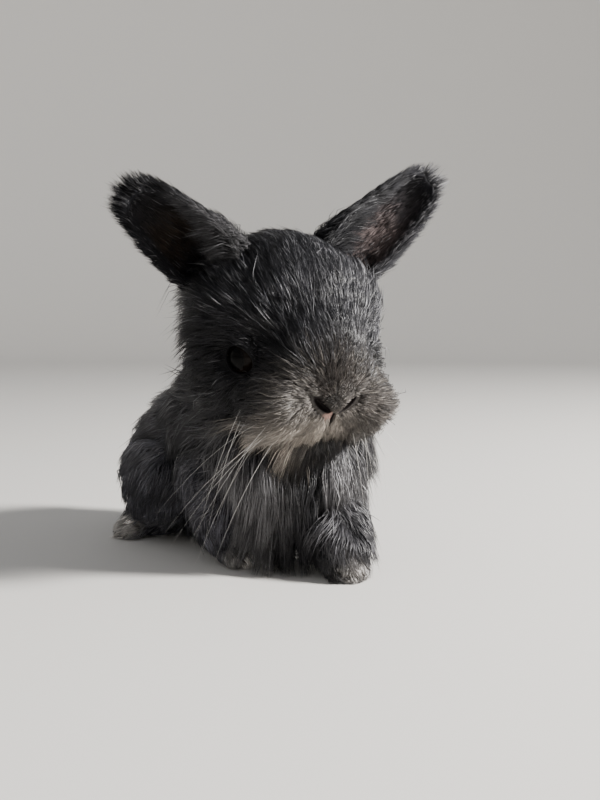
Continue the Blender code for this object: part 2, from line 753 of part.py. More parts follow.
def lie_of_leg(joints):
    """Returns a function that gives the coat's lie on a leg: down it, and forward on the foot."""
    before, end = Vector(joints[-2][0]), Vector(joints[-1][0])
    ahead = (end - before).normalized()

    def lie(point):
        foot = min(1.0, max(0.0, (FOOT_TOP - point.z) / FOOT_BLEND))
        down = Vector((0.0, 0.35, -0.80)) * (1.0 - foot)
        return down + (ahead + Vector((0.0, 0.0, -0.35))) * foot, 0.22

    return lie


def wool(body, head, neck, torso, tail, legs):
    """Roots the locks on every piece of the body but the neck, which the head's hang over."""
    tree = surface_of(body)
    neck_surface = surface_of(neck)
    eyes = [head_place() @ mirrored(EYE_CENTRE, side) for side in (1, -1)]
    ears = [[Vector(place) for place in ear_places[:2]] for ear_places in (EAR_LEFT, EAR_RIGHT)]
    to_head = head_place().inverted()

    def near_ear(point):
        for root, tip in ears:
            along = (tip - root).normalized()
            share = max(0.0, (point - root).dot(along))
            if (point - root - along * share).length < EAR_CLEARING:
                return True
        return False

    def on_head(point):
        if over_cut(point, NECK_CUT) < CLEAR or near_ear(point):
            return False
        if over_cut(point, HEAD_CUT) < CLEAR and outside(point, neck_surface) < CLEAR:
            return False
        return all((point - eye_centre).length > EYE_CLEARING for eye_centre in eyes)

    def rooted_on_head(point):
        local = to_head @ point
        ahead, within, above = BARE_FACE
        if local.y < ahead and abs(local.x) < within and local.z > above:
            return False
        return over_cut(point, HEAD_CUT) > 2 * CLEAR and on_head(point)

    def on_torso(point):
        if over_cut(point, NECK_CUT) > -CLEAR or over_cut(point, HEAD_CUT) > -CLEAR:
            return False
        if inside_tail(point) > -CLEAR or point.z < CLEAR:
            return False
        return all(inside_leg(point, joints, side) < -CLEAR for joints, side in LEGS.values())

    def on_tail(point):
        return inside_tail(point) > CLEAR

    coat(head, HEAD_LOCKS, lie_of_head, tree, on_head, rooted_on_head)
    coat(torso, TORSO_LOCKS, lie_of_trunk, tree, on_torso, on_torso)
    coat(tail, TAIL_LOCKS, lie_of_tail, tree, on_tail, on_tail)
    for leg in legs:
        joints, side = LEGS[leg.name]

        def on_leg(point, joints=joints, side=side):
            return point.z > CLEAR and inside_leg(point, joints, side) > CLEAR

        def rooted_on_leg(point, on_leg=on_leg):
            return point.z > TOP_OF_TOES and on_leg(point)

        sizes = HIND_LEG_LOCKS if side else FORELEG_LOCKS
        coat(leg, sizes, lie_of_leg(joints), tree, on_leg, rooted_on_leg)


def finish(piece, made_of):
    """Gives a piece its material and shades it smooth, and moves it to the model's origin."""
    piece.data.transform(Matrix.Translation(ORIGIN))
    piece.data.materials.clear()
    piece.data.materials.append(made_of)
    piece.data.shade_smooth()
    piece.data.set_sharp_from_angle(angle=SHARP_ANGLE)


def main():
    for existing in list(bpy.data.objects):
        bpy.data.objects.remove(existing)
    body = whole_body()
    head = cut_head(body)
    neck = cut_neck(body)
    tail = cut_limb(body, "tail", tail_zone("tail_zone", 0.0))
    legs = []
    zones = tail_zone("tail_zone", GAP)
    for name, (joints, side) in LEGS.items():
        legs.append(cut_limb(body, name, leg_zone(name + "_zone", joints, side, 0.0)))
        zones += leg_zone(name + "_zone", joints, side, GAP)
    torso = cut_torso(body, zones)
    wool(body, head, neck, torso, tail, legs)
    bpy.data.objects.remove(body)
    ears = [ear("ear_left", EAR_LEFT), ear("ear_right", EAR_RIGHT)]
    for piece in (head, neck, torso, tail, *legs, *ears):
        finish(piece, material(piece.name + " coat", COAT_COLOUR, 0.9))
    for name, side in (("eye_left", 1), ("eye_right", -1)):
        finish(eye(name, side), material(name + " cornea", EYE_COLOUR, 0.08))


main()
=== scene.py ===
from math import atan2, cos, pi, radians, sin
import random

import bmesh
import bpy
import numpy as np
from mathutils import Matrix, Vector
from mathutils.bvhtree import BVHTree
from mathutils.kdtree import KDTree


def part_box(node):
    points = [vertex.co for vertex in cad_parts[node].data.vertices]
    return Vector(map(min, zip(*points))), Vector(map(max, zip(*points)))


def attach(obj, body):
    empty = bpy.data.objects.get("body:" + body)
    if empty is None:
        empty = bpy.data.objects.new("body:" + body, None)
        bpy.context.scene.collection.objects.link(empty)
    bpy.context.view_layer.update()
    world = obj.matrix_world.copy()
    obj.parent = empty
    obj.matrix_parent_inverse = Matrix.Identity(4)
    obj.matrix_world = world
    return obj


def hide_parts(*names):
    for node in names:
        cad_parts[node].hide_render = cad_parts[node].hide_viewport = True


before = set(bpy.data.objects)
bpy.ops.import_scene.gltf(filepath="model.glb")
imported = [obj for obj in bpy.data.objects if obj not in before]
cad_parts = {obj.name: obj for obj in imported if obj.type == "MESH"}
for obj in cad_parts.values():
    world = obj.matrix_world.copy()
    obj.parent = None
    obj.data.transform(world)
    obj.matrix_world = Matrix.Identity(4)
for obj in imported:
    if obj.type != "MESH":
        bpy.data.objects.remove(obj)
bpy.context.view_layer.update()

# All that is on it is given in its own frame, x to the animal's left, -y forward and z up, and the
# solids' left eye fixes its place.
HEAD_CENTRE = Vector((-0.005, -0.033, 0.08))
HEAD_PITCH = radians(26)
HEAD_YAW = radians(-5)
HEAD_ROLL = radians(1)
MUZZLE_YAW = radians(2.8)
SOLID_EYE = (0.019, -0.0145, -0.005)

head_turn = Matrix.Rotation(HEAD_YAW, 4, "Z") @ Matrix.Rotation(HEAD_ROLL, 4, "Y")
head_turn = head_turn @ Matrix.Rotation(HEAD_PITCH, 4, "X")
eye_low, eye_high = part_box("eye_left")
SHIFT = (eye_low + eye_high) / 2 - HEAD_CENTRE - head_turn @ Vector(SOLID_EYE)
head_place = Matrix.Translation(HEAD_CENTRE + SHIFT) @ head_turn
muzzle_place = head_place @ Matrix.Rotation(MUZZLE_YAW, 4, "Z")
body_place = Matrix.Translation(SHIFT)


def mirrored(point, side):
    """Returns a point of the left side, or the like point of the right side."""
    return Vector((point[0] * side, point[1], point[2]))


# It is blended from the same masses as the solids, each drawn in by about half the depth of its
# coat. A mass is a centre and three half sizes, and a limb is a row of joints, each with its
# radius.
RIBCAGE = ((0.0, -0.003, 0.046), (0.029, 0.04, 0.03))
CHEST = ((0.001, -0.029, 0.042), (0.026, 0.019, 0.026))
RUMP = ((0.0, 0.04, 0.032), (0.029, 0.036, 0.027))
NAPE = ((0.0, -0.012, 0.068), (0.024, 0.021, 0.02))
TAIL = ((0.0, 0.0745, 0.029), (0.009, 0.013, 0.0095))
THIGH = ((0.0235, 0.034, 0.023), (0.0125, 0.024, 0.0205))
CRANIUM = ((0.0, 0.005, 0.001), (0.031, 0.032, 0.029))
MIDFACE = ((0.0, -0.013, -0.0065), (0.025, 0.018, 0.0185))
MUZZLE = ((0.0, -0.0235, -0.0075), (0.0205, 0.0165, 0.018))
CHEEK = ((0.018, -0.005, -0.0085), (0.015, 0.0195, 0.0175))
WHISKER_PAD = ((0.0115, -0.0275, -0.01), (0.013, 0.0115, 0.011))
BRIDGE = ((0.0, -0.019, 0.003), (0.015, 0.017, 0.013))
NOSE = ((0.0, -0.0345, -0.006), (0.0062, 0.0052, 0.005))
CHIN = ((0.0, -0.0235, -0.022), (0.01, 0.0105, 0.0075))
FORELEG_LEFT = (((0.014, -0.022, 0.029), 0.014), ((0.008, -0.04, 0.0135), 0.012),
                ((0.006, -0.049, 0.0065), 0.0095))
FORELEG_RIGHT = (((-0.0185, -0.008, 0.029), 0.0135), ((-0.017, -0.0105, 0.014), 0.0115),
                 ((-0.0155, -0.0155, 0.0065), 0.0095))
HIND_FOOT_LEFT = (((0.023, 0.052, 0.009), 0.0092), ((0.024, 0.028, 0.0065), 0.0085),
                  ((0.026, 0.015, 0.006), 0.008))
HIND_FOOT_RIGHT = (((-0.001, 0.043, 0.009), 0.0092), ((-0.02, 0.0435, 0.0065), 0.0085),
                   ((-0.0265, 0.044, 0.006), 0.008))
LIMBS = (FORELEG_LEFT, FORELEG_RIGHT, HIND_FOOT_LEFT, HIND_FOOT_RIGHT)
TOES = 4
TOE_SPREAD = 0.0031
TOE_FAN = radians(7)
TOE_AHEAD = 0.005
TOE_STEP = 0.001
TOE_HEIGHT = 0.003
TOE_SIZE = (0.0019, 0.0046, 0.0027)
TRUNK_DEPTH = 0.0046
HEAD_DEPTH = 0.0034
FACE_DEPTH = 0.0018
LEG_DEPTH = 0.003
TAIL_DEPTH = 0.0045
SKIN_VOXEL = 0.001
SKIN_SMOOTHING = 12
BALL_DETAIL = 4
FINE_DETAIL = 3


def add_ellipsoid(bm, mass, depth=0.0, place=body_place, turn=Matrix(), detail=BALL_DETAIL):
    """Adds a mass, drawn in by a depth, to bm."""
    centre, sizes = mass
    scale = Matrix.Diagonal((*(size - depth for size in sizes), 1.0))
    matrix = place @ Matrix.Translation(centre) @ turn @ scale
    bmesh.ops.create_icosphere(bm, subdivisions=detail, radius=1.0, matrix=matrix)


def add_length(bm, start, end, depth):
    """Adds a rounded length of a limb, from one joint to the next, to bm."""
    length = bmesh.new()
    for centre, radius in (start, end):
        bmesh.ops.create_icosphere(length, subdivisions=FINE_DETAIL, radius=radius - depth,
                                   matrix=body_place @ Matrix.Translation(centre))
    points = [point.co.copy() for point in length.verts]
    length.clear()
    for point in points:
        length.verts.new(point)
    bmesh.ops.convex_hull(length, input=length.verts)
    loose = [point for point in length.verts if not point.link_faces]
    bmesh.ops.delete(length, geom=loose, context="VERTS")
    mesh = bpy.data.meshes.new("length")
    length.to_mesh(mesh)
    length.free()
    bm.from_mesh(mesh)
    bpy.data.meshes.remove(mesh)


def toes(joints):
    """Returns the centre, the turn and the way ahead of each toe at the end of a limb."""
    before, end = Vector(joints[-2][0]), Vector(joints[-1][0])
    ahead = (end - before) * Vector((1.0, 1.0, 0.0))
    ahead.normalize()
    across = Vector((-ahead.y, ahead.x, 0.0))
    found = []
    for number in range(TOES):
        place = number - (TOES - 1) / 2
        centre = end + ahead * (TOE_AHEAD - TOE_STEP * abs(place)) + across * TOE_SPREAD * place
        centre.z = TOE_HEIGHT
        turn = Matrix.Rotation(atan2(-ahead.x, ahead.y) - TOE_FAN * place, 4, "Z")
        found.append((centre, turn))
    return found


def placed(name, data):
    """Puts a mesh, a camera or a light into the scene."""
    made = bpy.data.objects.new(name, data)
    bpy.context.scene.collection.objects.link(made)
    return made


def new_object(name, bm):
    """Turns a bmesh into an object of the scene."""
    mesh = bpy.data.meshes.new(name)
    bm.to_mesh(mesh)
    bm.free()
    return placed(name, mesh)


def settle(piece):
    """Makes what its modifiers give the mesh of a piece."""
    graph = bpy.context.evaluated_depsgraph_get()
    mesh = bpy.data.meshes.new_from_object(piece.evaluated_get(graph))
    piece.modifiers.clear()
    piece.data = mesh
    return piece


def soften(piece, times):
    """Smooths a piece, and makes what its modifiers give its mesh."""
    smooth = piece.modifiers.new("soften", "SMOOTH")
    smooth.factor = 0.5
    smooth.iterations = times
    return settle(piece)


def triangulate(piece, outwards=False):
    """Cuts the faces of a piece into triangles, turns them outwards if asked, and smooths them."""
    bm = bmesh.new()
    bm.from_mesh(piece.data)
    bmesh.ops.triangulate(bm, faces=bm.faces)
    if outwards:
        bmesh.ops.recalc_face_normals(bm, faces=bm.faces)
    bm.to_mesh(piece.data)
    bm.free()
    piece.data.shade_smooth()


def combine(piece, others, operation):
    """Joins or cuts a piece with closed shapes, which are then removed."""
    group = bpy.data.collections.new("group")
    for other in others:
        group.objects.link(other)
    boolean = piece.modifiers.new("combine", "BOOLEAN")
    boolean.operation = operation
    boolean.operand_type = "COLLECTION"
    boolean.collection = group
    boolean.solver = "MANIFOLD"
    settle(piece)
    for other in others:
        bpy.data.objects.remove(other)
    bpy.data.collections.remove(group)
    return piece


bm = bmesh.new()
for mass in (RIBCAGE, CHEST, RUMP, NAPE):
    add_ellipsoid(bm, mass, TRUNK_DEPTH)
add_ellipsoid(bm, TAIL, TAIL_DEPTH)
add_ellipsoid(bm, CRANIUM, HEAD_DEPTH, head_place)
for mass in (MIDFACE, BRIDGE, MUZZLE, CHIN):
    add_ellipsoid(bm, mass, FACE_DEPTH, muzzle_place)
add_ellipsoid(bm, NOSE, 0.0, muzzle_place)
for side in (1, -1):
    add_ellipsoid(bm, (mirrored(CHEEK[0], side), CHEEK[1]), HEAD_DEPTH, head_place)
    add_ellipsoid(bm, (mirrored(WHISKER_PAD[0], side), WHISKER_PAD[1]), FACE_DEPTH, muzzle_place)
    add_ellipsoid(bm, (mirrored(THIGH[0], side), THIGH[1]), TRUNK_DEPTH)
for joints in LIMBS:
    for start, end in zip(joints, joints[1:]):
        add_length(bm, start, end, LEG_DEPTH)
    for centre, turn in toes(joints):
        add_ellipsoid(bm, (centre, TOE_SIZE), turn=turn, detail=FINE_DETAIL)
skin = new_object("skin", bm)
blend = skin.modifiers.new("blend", "REMESH")
blend.mode = "VOXEL"
blend.voxel_size = SKIN_VOXEL
soften(skin, SKIN_SMOOTHING)

# Lids, nostrils and mouth
# Each eye lies in a shallow hollow, under two lids of thin skin that leave an almond open. Two
# slanted nostrils and the cleft of the lip make the Y of the nose, over the slit of the mouth.
EYE_PLACE = (0.0188, -0.0148, -0.0032)
EYEBALL = (0.006, 0.006, 0.006)
EYE_HOLLOW = ((0.031, -0.021, -0.003), (0.0102, 0.0116, 0.0078))
LIDS = (0.0067, 0.007, 0.0068)
EYE_SLIT = ((0.0238, -0.018, -0.003), (0.0052, 0.0056, 0.0042))
SOCKET_PLAY = 0.0001
LID_SMOOTHING = 2
NOSTRIL = ((0.0046, -0.0388, -0.0072), (0.004, 0.0032, 0.0013))
NOSTRIL_TILT = radians(38)
CLEFT = ((0.0, -0.039, -0.0128), (0.0004, 0.0026, 0.0036))
MOUTH = ((0.0, -0.03, -0.0187), (0.0115, 0.0088, 0.0013))


def shape(name, mass, place, turn=Matrix()):
    """Returns a mass of the head or the muzzle as an object."""
    bm = bmesh.new()
    add_ellipsoid(bm, mass, 0.0, place, turn)
    return new_object(name, bm)


def both_sides(name, centre, sizes, place=head_place, tilt=0.0):
    """Returns a shape on each side of the head."""
    return [shape(name, (mirrored(centre, side), sizes), place,
                  Matrix.Rotation(-tilt * side, 4, "Y")) for side in (1, -1)]


combine(skin, both_sides("hollow", *EYE_HOLLOW), "DIFFERENCE")
combine(skin, both_sides("lids", EYE_PLACE, LIDS), "UNION")
soften(skin, LID_SMOOTHING)
socket = [size + SOCKET_PLAY for size in EYEBALL]
combine(skin, both_sides("socket", EYE_PLACE, socket) + both_sides("slit", *EYE_SLIT), "DIFFERENCE")
nose_cuts = both_sides("nostril", *NOSTRIL, muzzle_place, NOSTRIL_TILT)
nose_cuts += [shape("cleft", CLEFT, muzzle_place), shape("mouth", MOUTH, muzzle_place)]
combine(skin, nose_cuts, "DIFFERENCE")
triangulate(skin)

# Ears
# Two cupped leaves of thin gristle and skin, dark outside and pinkish grey inside. Each stands on
# the crown where its solid does and is drawn in from it by the depth of its short coat.
EAR_LEFT = ((0.0165, -0.0245, 0.0985), (0.052, -0.033, 0.13), (-0.45, -0.85, -0.25))
EAR_RIGHT = ((-0.0235, -0.0245, 0.097), (-0.056, -0.03, 0.118), (-0.3, -0.85, -0.45))
EAR_THICKNESS = 0.0013
EAR_ROUNDING = 2
# An ear: its root, its tip and the way it opens. Its stations: share of its length, radius of the
# cup, half angle of the cup in degrees
EAR_STATIONS = ((-0.1, 0.0098, 140), (0.12, 0.011, 118), (0.32, 0.0108, 100), (0.53, 0.0099, 88),
                (0.73, 0.0087, 78), (0.88, 0.0073, 72), (0.96, 0.0056, 66), (0.995, 0.0028, 56))
EAR_ACROSS = 13


def ear(name, places, node):
    """Returns an ear's skin: a cupped leaf, closed all round, open to the front."""
    root, tip, opening = (Vector(place) for place in places)
    along = (tip - root).normalized()
    opening = (opening - along * opening.dot(along)).normalized()
    across = along.cross(opening)
    bm = bmesh.new()
    rows = []
    for share, radius, half_angle in EAR_STATIONS:
        row = []
        for number in range(EAR_ACROSS):
            angle = radians(half_angle) * (2 * number / (EAR_ACROSS - 1) - 1)
            out = across * sin(angle) - opening * cos(angle)
            row.append(bm.verts.new(root + (tip - root) * share + out * radius + SHIFT))
        rows.append(row)
    for row, above in zip(rows, rows[1:]):
        for number in range(EAR_ACROSS - 1):
            bm.faces.new((row[number], row[number + 1], above[number + 1], above[number]))
    bmesh.ops.recalc_face_normals(bm, faces=bm.faces)
    made = new_object(name, bm)
    shell = made.modifiers.new("shell", "SOLIDIFY")
    shell.thickness = EAR_THICKNESS
    shell.offset = 0.0
    rounding = made.modifiers.new("rounding", "SUBSURF")
    rounding.levels = rounding.render_levels = EAR_ROUNDING
    triangulate(settle(made), outwards=True)
    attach(made, "root")
    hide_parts(node)
    return made


ears = [ear("ear_skin_left", EAR_LEFT, "ear_left"), ear("ear_skin_right", EAR_RIGHT, "ear_right")]

# Lie of the coat
# The hair of the head runs out and back from the nose on every side, that of the trunk backward and
# down its sides, and the wool of chest and belly hangs straight down. Each point of the skin is
# given the way, length, height, breadth, clumping, looseness, density and tone of its hair.
TRUNK_LENGTH = 0.0165
TRUNK_LIFT = 0.0062
SADDLE_LIFT = 0.0034
LEG_LENGTH = 0.0135
LEG_LIFT = 0.0032
FOOT_LENGTH = 0.006
FOOT_LIFT = 0.0015
HEAD_LENGTH = 0.013
HEAD_LIFT = 0.0046
TEMPLE_LIFT = 0.0034
NOSE_LENGTH = 0.0014
NOSE_LIFT = 0.0004
HAIR_WIDTH = 0.0003
TOES_AHEAD = 0.0075
TOES_REACH = (0.0092, 0.011)
PAW_AHEAD = 0.006
PAW_RADIUS = 0.012
PAW_CLEAR = 0.008
PAW_HEIGHT = 0.034
NOSE_TIP = (0.0, -0.04, -0.0065)
BARE_LIP = (-0.0014, -0.0395, -0.0118)
LINING_REACH = 1.12
EYE_BARE = 0.0064
RIM_BARE = 1.07
EYE_CLEAR = 0.006
EYE_REACH = 0.022
HEAD_CUT = ((-0.002, 0.076), (-0.039, 0.046))
PALE_WISP = (-0.024, -0.025, 0.04)
LIE_SMOOTHING = 14
TONE_SMOOTHING = 4
NORMAL_SMOOTHING = 6
CHARCOAL = (0.0165, 0.0165, 0.0198)
SOOT = (0.008, 0.008, 0.0104)
SMOKE = (0.0174, 0.0172, 0.0186)
SLATE = (0.23, 0.225, 0.232)
MOCHA = (0.13, 0.12, 0.112)
DARK_BRIDGE = (0.042, 0.035, 0.031)
LIGHT_TOES = (0.62, 0.59, 0.56)
BEIGE = (0.5, 0.44, 0.38)
BARE_SKIN = (0.42, 0.26, 0.22)
LINING = (0.006, 0.004, 0.004)


def ramp(values, low, high):
    """Returns 0 below low, 1 above high, and a smooth rise between."""
    share = np.clip((values - low) / (high - low), 0.0, 1.0)
    return share * share * (3 - 2 * share)


def fade(values, low, high):
    """Returns 1 below low, 0 above high, and a smooth fall between."""
    return 1 - ramp(values, low, high)


def unit(vectors):
    """Returns vectors of length one."""
    return vectors / np.maximum(np.linalg.norm(vectors, axis=-1, keepdims=True), 1e-12)


def gaps(points, place):
    """Returns how far points lie from a place."""
    return np.linalg.norm(points - np.array(place), axis=1)


def apart(points, mass):
    """Returns how far points lie from a mass's centre, in shares of its half sizes."""
    return np.linalg.norm((points - np.array(mass[0])) / np.array(mass[1]), axis=1)


def mixed(first, second, share):
    """Returns first where share is 0 and second where it is 1, point by point."""
    share = share[:, None]
    return np.asarray(first) * (1 - share) + np.asarray(second) * share


def blended(first, second, share):
    """Returns single values mixed in the same way."""
    return first * (1 - share) + second * share


def from_limb(points, joints):
    """Returns how far points lie from the middle line of a limb, in shares of its radius there."""
    nearest = np.full(len(points), np.inf)
    for (start, start_radius), (end, end_radius) in zip(joints, joints[1:]):
        start, along = np.array(start), np.array(end) - np.array(start)
        share = np.clip((points - start) @ along / (along @ along), 0.0, 1.0)
        radius = start_radius + (end_radius - start_radius) * share
        away = np.linalg.norm(points - start - share[:, None] * along, axis=1) / radius
        nearest = np.minimum(nearest, away)
    return nearest


def way_of(joints):
    """Returns the way that the last length of a limb points."""
    return unit(np.array(joints[-1][0]) - np.array(joints[-2][0]))


def listed(items, key, width, kind=float):
    """Returns what the items of a mesh hold under a key as an array."""
    found = np.empty(len(items) * width, dtype=kind)
    items.foreach_get(key, found)
    return found.reshape(-1, width)


def arrays_of(piece):
    """Returns a piece's points, normals, triangles and edges as arrays."""
    mesh = piece.data
    corners = listed(mesh.loops, "vertex_index", 1, np.int64).reshape(-1, 3)
    return (listed(mesh.vertices, "co", 3), listed(mesh.vertices, "normal", 3), corners,
            listed(mesh.edges, "vertices", 2, np.int64))


def evened(values, edges, times):
    """Returns values at the points of a mesh, each drawn towards the mean of its neighbours."""
    neighbours = np.bincount(edges.ravel(), minlength=len(values)).astype(float)
    flat = values.reshape(len(values), -1)
    for _ in range(times):
        total = np.empty_like(flat)
        for column in range(flat.shape[1]):
            total[:, column] = np.bincount(edges[:, 0], flat[edges[:, 1], column], len(values))
            total[:, column] += np.bincount(edges[:, 1], flat[edges[:, 0], column], len(values))
        flat = 0.4 * flat + 0.6 * total / np.maximum(neighbours, 1)[:, None]
    return flat.reshape(values.shape)


# The skin's points in the body's frame and in the muzzle's. The two ends of each ramp and fade
# below are places in one of these, in metres, or shares
skin_points, skin_normals, skin_corners, skin_edges = arrays_of(skin)
body = skin_points - np.array(SHIFT)
to_muzzle = np.array(muzzle_place.inverted())
local = skin_points @ to_muzzle[:3, :3].T + to_muzzle[:3, 3]
from_muzzle = np.array(muzzle_place)[:3, :3]
body_x, body_y, body_z = body.T
head_x, head_y, head_z = local.T
count = len(body)

# The trunk: back and down along the sides, straight down on the chest and the belly
flank = np.clip(np.abs(body_x) / 0.028, 0, 1)
chest = ramp(-body_y, 0.012, 0.036)
belly = ramp(-skin_normals[:, 2], 0.2, 0.7)
hang = np.maximum(chest, belly)
way = np.stack((0.22 * np.sign(body_x) * flank, (1 - hang) * (1 - 0.45 * flank),
                -0.18 - 0.5 * flank - 0.95 * hang), axis=1)
under = belly * fade(np.abs(body_x), 0.014, 0.024) * ramp(-body_y, -0.01, 0.016)
length = TRUNK_LENGTH + 0.002 * chest + 0.005 * belly + 0.005 * under
lift = (TRUNK_LIFT - 0.002 * belly) * (1 - 0.52 * ramp(body_y, 0.0, 0.026))
saddle = ramp(body_y, 0.002, 0.014) * fade(body_y, 0.03, 0.046)
saddle = saddle * ramp(body_z, 0.04, 0.054) * ramp(body_x, -0.014, -0.004)
lift = lift + SADDLE_LIFT * saddle
width = np.full(count, HAIR_WIDTH)
loose = np.minimum(0.3 + 0.45 * chest + 0.7 * belly, 1.0)
clumping = 0.58 - 0.12 * chest
density = (1 - 0.3 * belly) * (1 + 2.4 * under)
# The chest's pale grey fades to the body's dark on its right side, away from the light: painted
# shade
breast_and_shade = chest * (1 - 0.75 * belly) * (0.12 + 0.88 * ramp(body_x, -0.02, -0.002))
breast_and_shade = breast_and_shade * (1 - 0.7 * ramp(body_x, 0.008, 0.022))
shade = 2.5 + 3.2 * ramp(body_y, 0.004, 0.03)
tone = mixed(shade[:, None] * SMOKE, SLATE, breast_and_shade)
outer = ramp(body_x, 0.008, 0.022) * ramp(0.056 - body_z, 0.0, 0.012)
lift = lift * (1 - 0.55 * outer * chest)

# One pale wisp on the right of the chest
wisp_gap = np.linalg.norm((body - PALE_WISP) / (1.0, 1.0, 1.7), axis=1)
tone = mixed(tone, np.array(SLATE) * 1.8, 0.7 * fade(wisp_gap, 0.0015, 0.0045))

# The tail: short, straight back and a little up
on_tail = ramp(body_y, 0.066, 0.074)
way = mixed(way, (0.0, 1.0, 0.35), on_tail)
length = length * (1 - 0.64 * on_tail)
lift = lift * (1 - 0.25 * on_tail)

# The legs: down to the paw, then forward over the toes, where it is short and light. The left
# forefoot is darker than the others
for joints, thigh_side in zip(LIMBS, (0, 0, 1, -1)):
    near = fade(from_limb(body, joints), 0.92, 1.12)
    if thigh_side:
        thigh = (mirrored(THIGH[0], thigh_side), THIGH[1])
        near = np.maximum(near, fade(apart(body, thigh), 0.92, 1.1))
    near = near * fade(body_z, 0.03, 0.046)
    ahead = way_of(joints)
    foot = fade(body_z, 0.007, 0.02)
    down = mixed((0.0, 0.3, -1.0), ahead + (0.0, 0.0, -0.25), foot)
    way = mixed(way, down, near)
    length = blended(length, blended(LEG_LENGTH, FOOT_LENGTH, foot), near)
    lift = blended(lift, blended(LEG_LIFT, FOOT_LIFT, foot), near)
    width = width * (1 - 0.25 * near * foot)
    loose = loose * (1 - 0.5 * near)
    leg_shade, toe_share = (1.9, 0.42) if joints is FORELEG_LEFT else (4.6, 0.92)
    tone = mixed(tone, np.array(CHARCOAL) * leg_shade, near * 0.8)
    toe_centre = ahead * TOES_AHEAD + joints[-1][0]
    toe = fade(gaps(body, toe_centre), 0.0055, TOES_REACH[abs(thigh_side)])
    tone = mixed(tone, LIGHT_TOES, toe * toe_share)
    length = length * (1 - 0.4 * toe)
    density = density * (1 + 0.5 * toe)

# The head: out and back from the nose, flat over the brow, longer on the cheeks and the crown
back_cut, front_cut = np.array(HEAD_CUT)
cut_way = unit(front_cut - back_cut)
over_cut = (body_z - back_cut[1]) * -cut_way[0] + (body_y - back_cut[0]) * cut_way[1]
on_head = ramp(over_cut, -0.004, 0.006)
outward = unit(local - NOSE_TIP)
from_nose = gaps(local, NOSE_TIP)
rise = outward[:, 2]
muzzle_reach = 0.019 + 0.0045 * ramp(-rise, 0.1, 0.6) - 0.004 * ramp(rise, 0.05, 0.6)
on_muzzle = fade(from_nose, muzzle_reach - 0.007, muzzle_reach + 0.002)
low_lip = ramp(-head_z, 0.011, 0.018) * fade(head_y, -0.014, -0.004)
mouth_shade = ramp(-head_z, 0.017, 0.02) * fade(np.abs(head_x - 0.0015), 0.004, 0.0075)
mouth_shade = mouth_shade * fade(head_y, -0.02, -0.01)
brow_edge = 0.007 * ramp(head_x, -0.012, -0.002)
brow = ramp(head_z + brow_edge, 0.0, 0.012) * fade(head_y, 0.006, 0.018)
cheek = (1 - brow) * (1 - on_muzzle)
behind = ramp(head_y, 0.004, 0.02)
head_way = outward + (1 - brow)[:, None] * (0.0, 0.1, -0.2)
sunk = cheek * ramp(from_nose, 0.02, 0.04)
head_way = head_way + sunk[:, None] * (0.0, 0.0, -0.7)
head_way = mixed(head_way, (0.0, 0.75, -0.62), behind)
head_way = mixed(head_way, outward + (0.0, 0.1, -1.2), low_lip)
eye_near = np.zeros(count)
in_head = (skin_points - np.array(SHIFT + HEAD_CENTRE)) @ np.array(head_turn)[:3, :3]
for side in (1, -1):
    eye_gap = gaps(skin_points, head_place @ mirrored(EYE_PLACE, side))
    eye_near = np.maximum(eye_near, fade(eye_gap, 0.0062, 0.011))
    rim_gap = apart(in_head, (mirrored(EYE_SLIT[0], side), EYE_SLIT[1]))
    density = np.where((eye_gap < EYE_BARE) | (rim_gap < RIM_BARE), 0.0, density)
nosewise = ramp(from_nose, 0.002, 0.022)
rightward = fade(head_x, -0.006, 0.004)
crown = ramp(head_z, 0.014, 0.024)
head_length = blended(HEAD_LENGTH - 0.0015 * brow, NOSE_LENGTH + 0.0066 * nosewise, on_muzzle)
lip_length = (0.0085 + 0.005 * rightward) * low_lip * nosewise
head_length = head_length + lip_length - 0.0065 * mouth_shade
head_length = head_length * (1 - 0.25 * crown * behind)
temple = ramp(np.abs(head_x), 0.017, 0.026) * ramp(head_z, -0.006, 0.006) * (1 - on_muzzle)
head_lift = (HEAD_LIFT - 0.0024 * brow) * (1 - 0.55 * crown) + TEMPLE_LIFT * temple
pad_lift = NOSE_LIFT + 0.003 * nosewise + 0.0022 * ramp(from_nose, 0.01, 0.02) * (1 - brow)
head_lift = blended(head_lift, pad_lift, on_muzzle)
crown_tuft = ramp(head_z, 0.022, 0.027) * fade(np.abs(head_x), 0.008, 0.016)
crown_tuft = crown_tuft * fade(np.abs(head_y - 0.002), 0.006, 0.014)
head_way = mixed(head_way, (0.0, 0.3, 1.0), crown_tuft * 0.3)
head_lift = head_lift + 0.0008 * crown_tuft
around_eye = 1 - 0.72 * eye_near
length = length * (1 - on_head) + on_head * head_length * around_eye
lift = lift * (1 - on_head) + on_head * head_lift * around_eye
way = mixed(way, unit(head_way) @ from_muzzle.T, on_head)
width = width * (1 - on_head * (0.36 + 0.1 * on_muzzle + 0.14 * (1 - nosewise)))
loose = blended(loose, 0.15 + 0.55 * low_lip, on_head)
clumping = clumping * (1 - on_head * (0.3 + 0.3 * on_muzzle - 0.55 * low_lip))
density = density * (1 + on_head * (0.25 + 0.9 * on_muzzle))
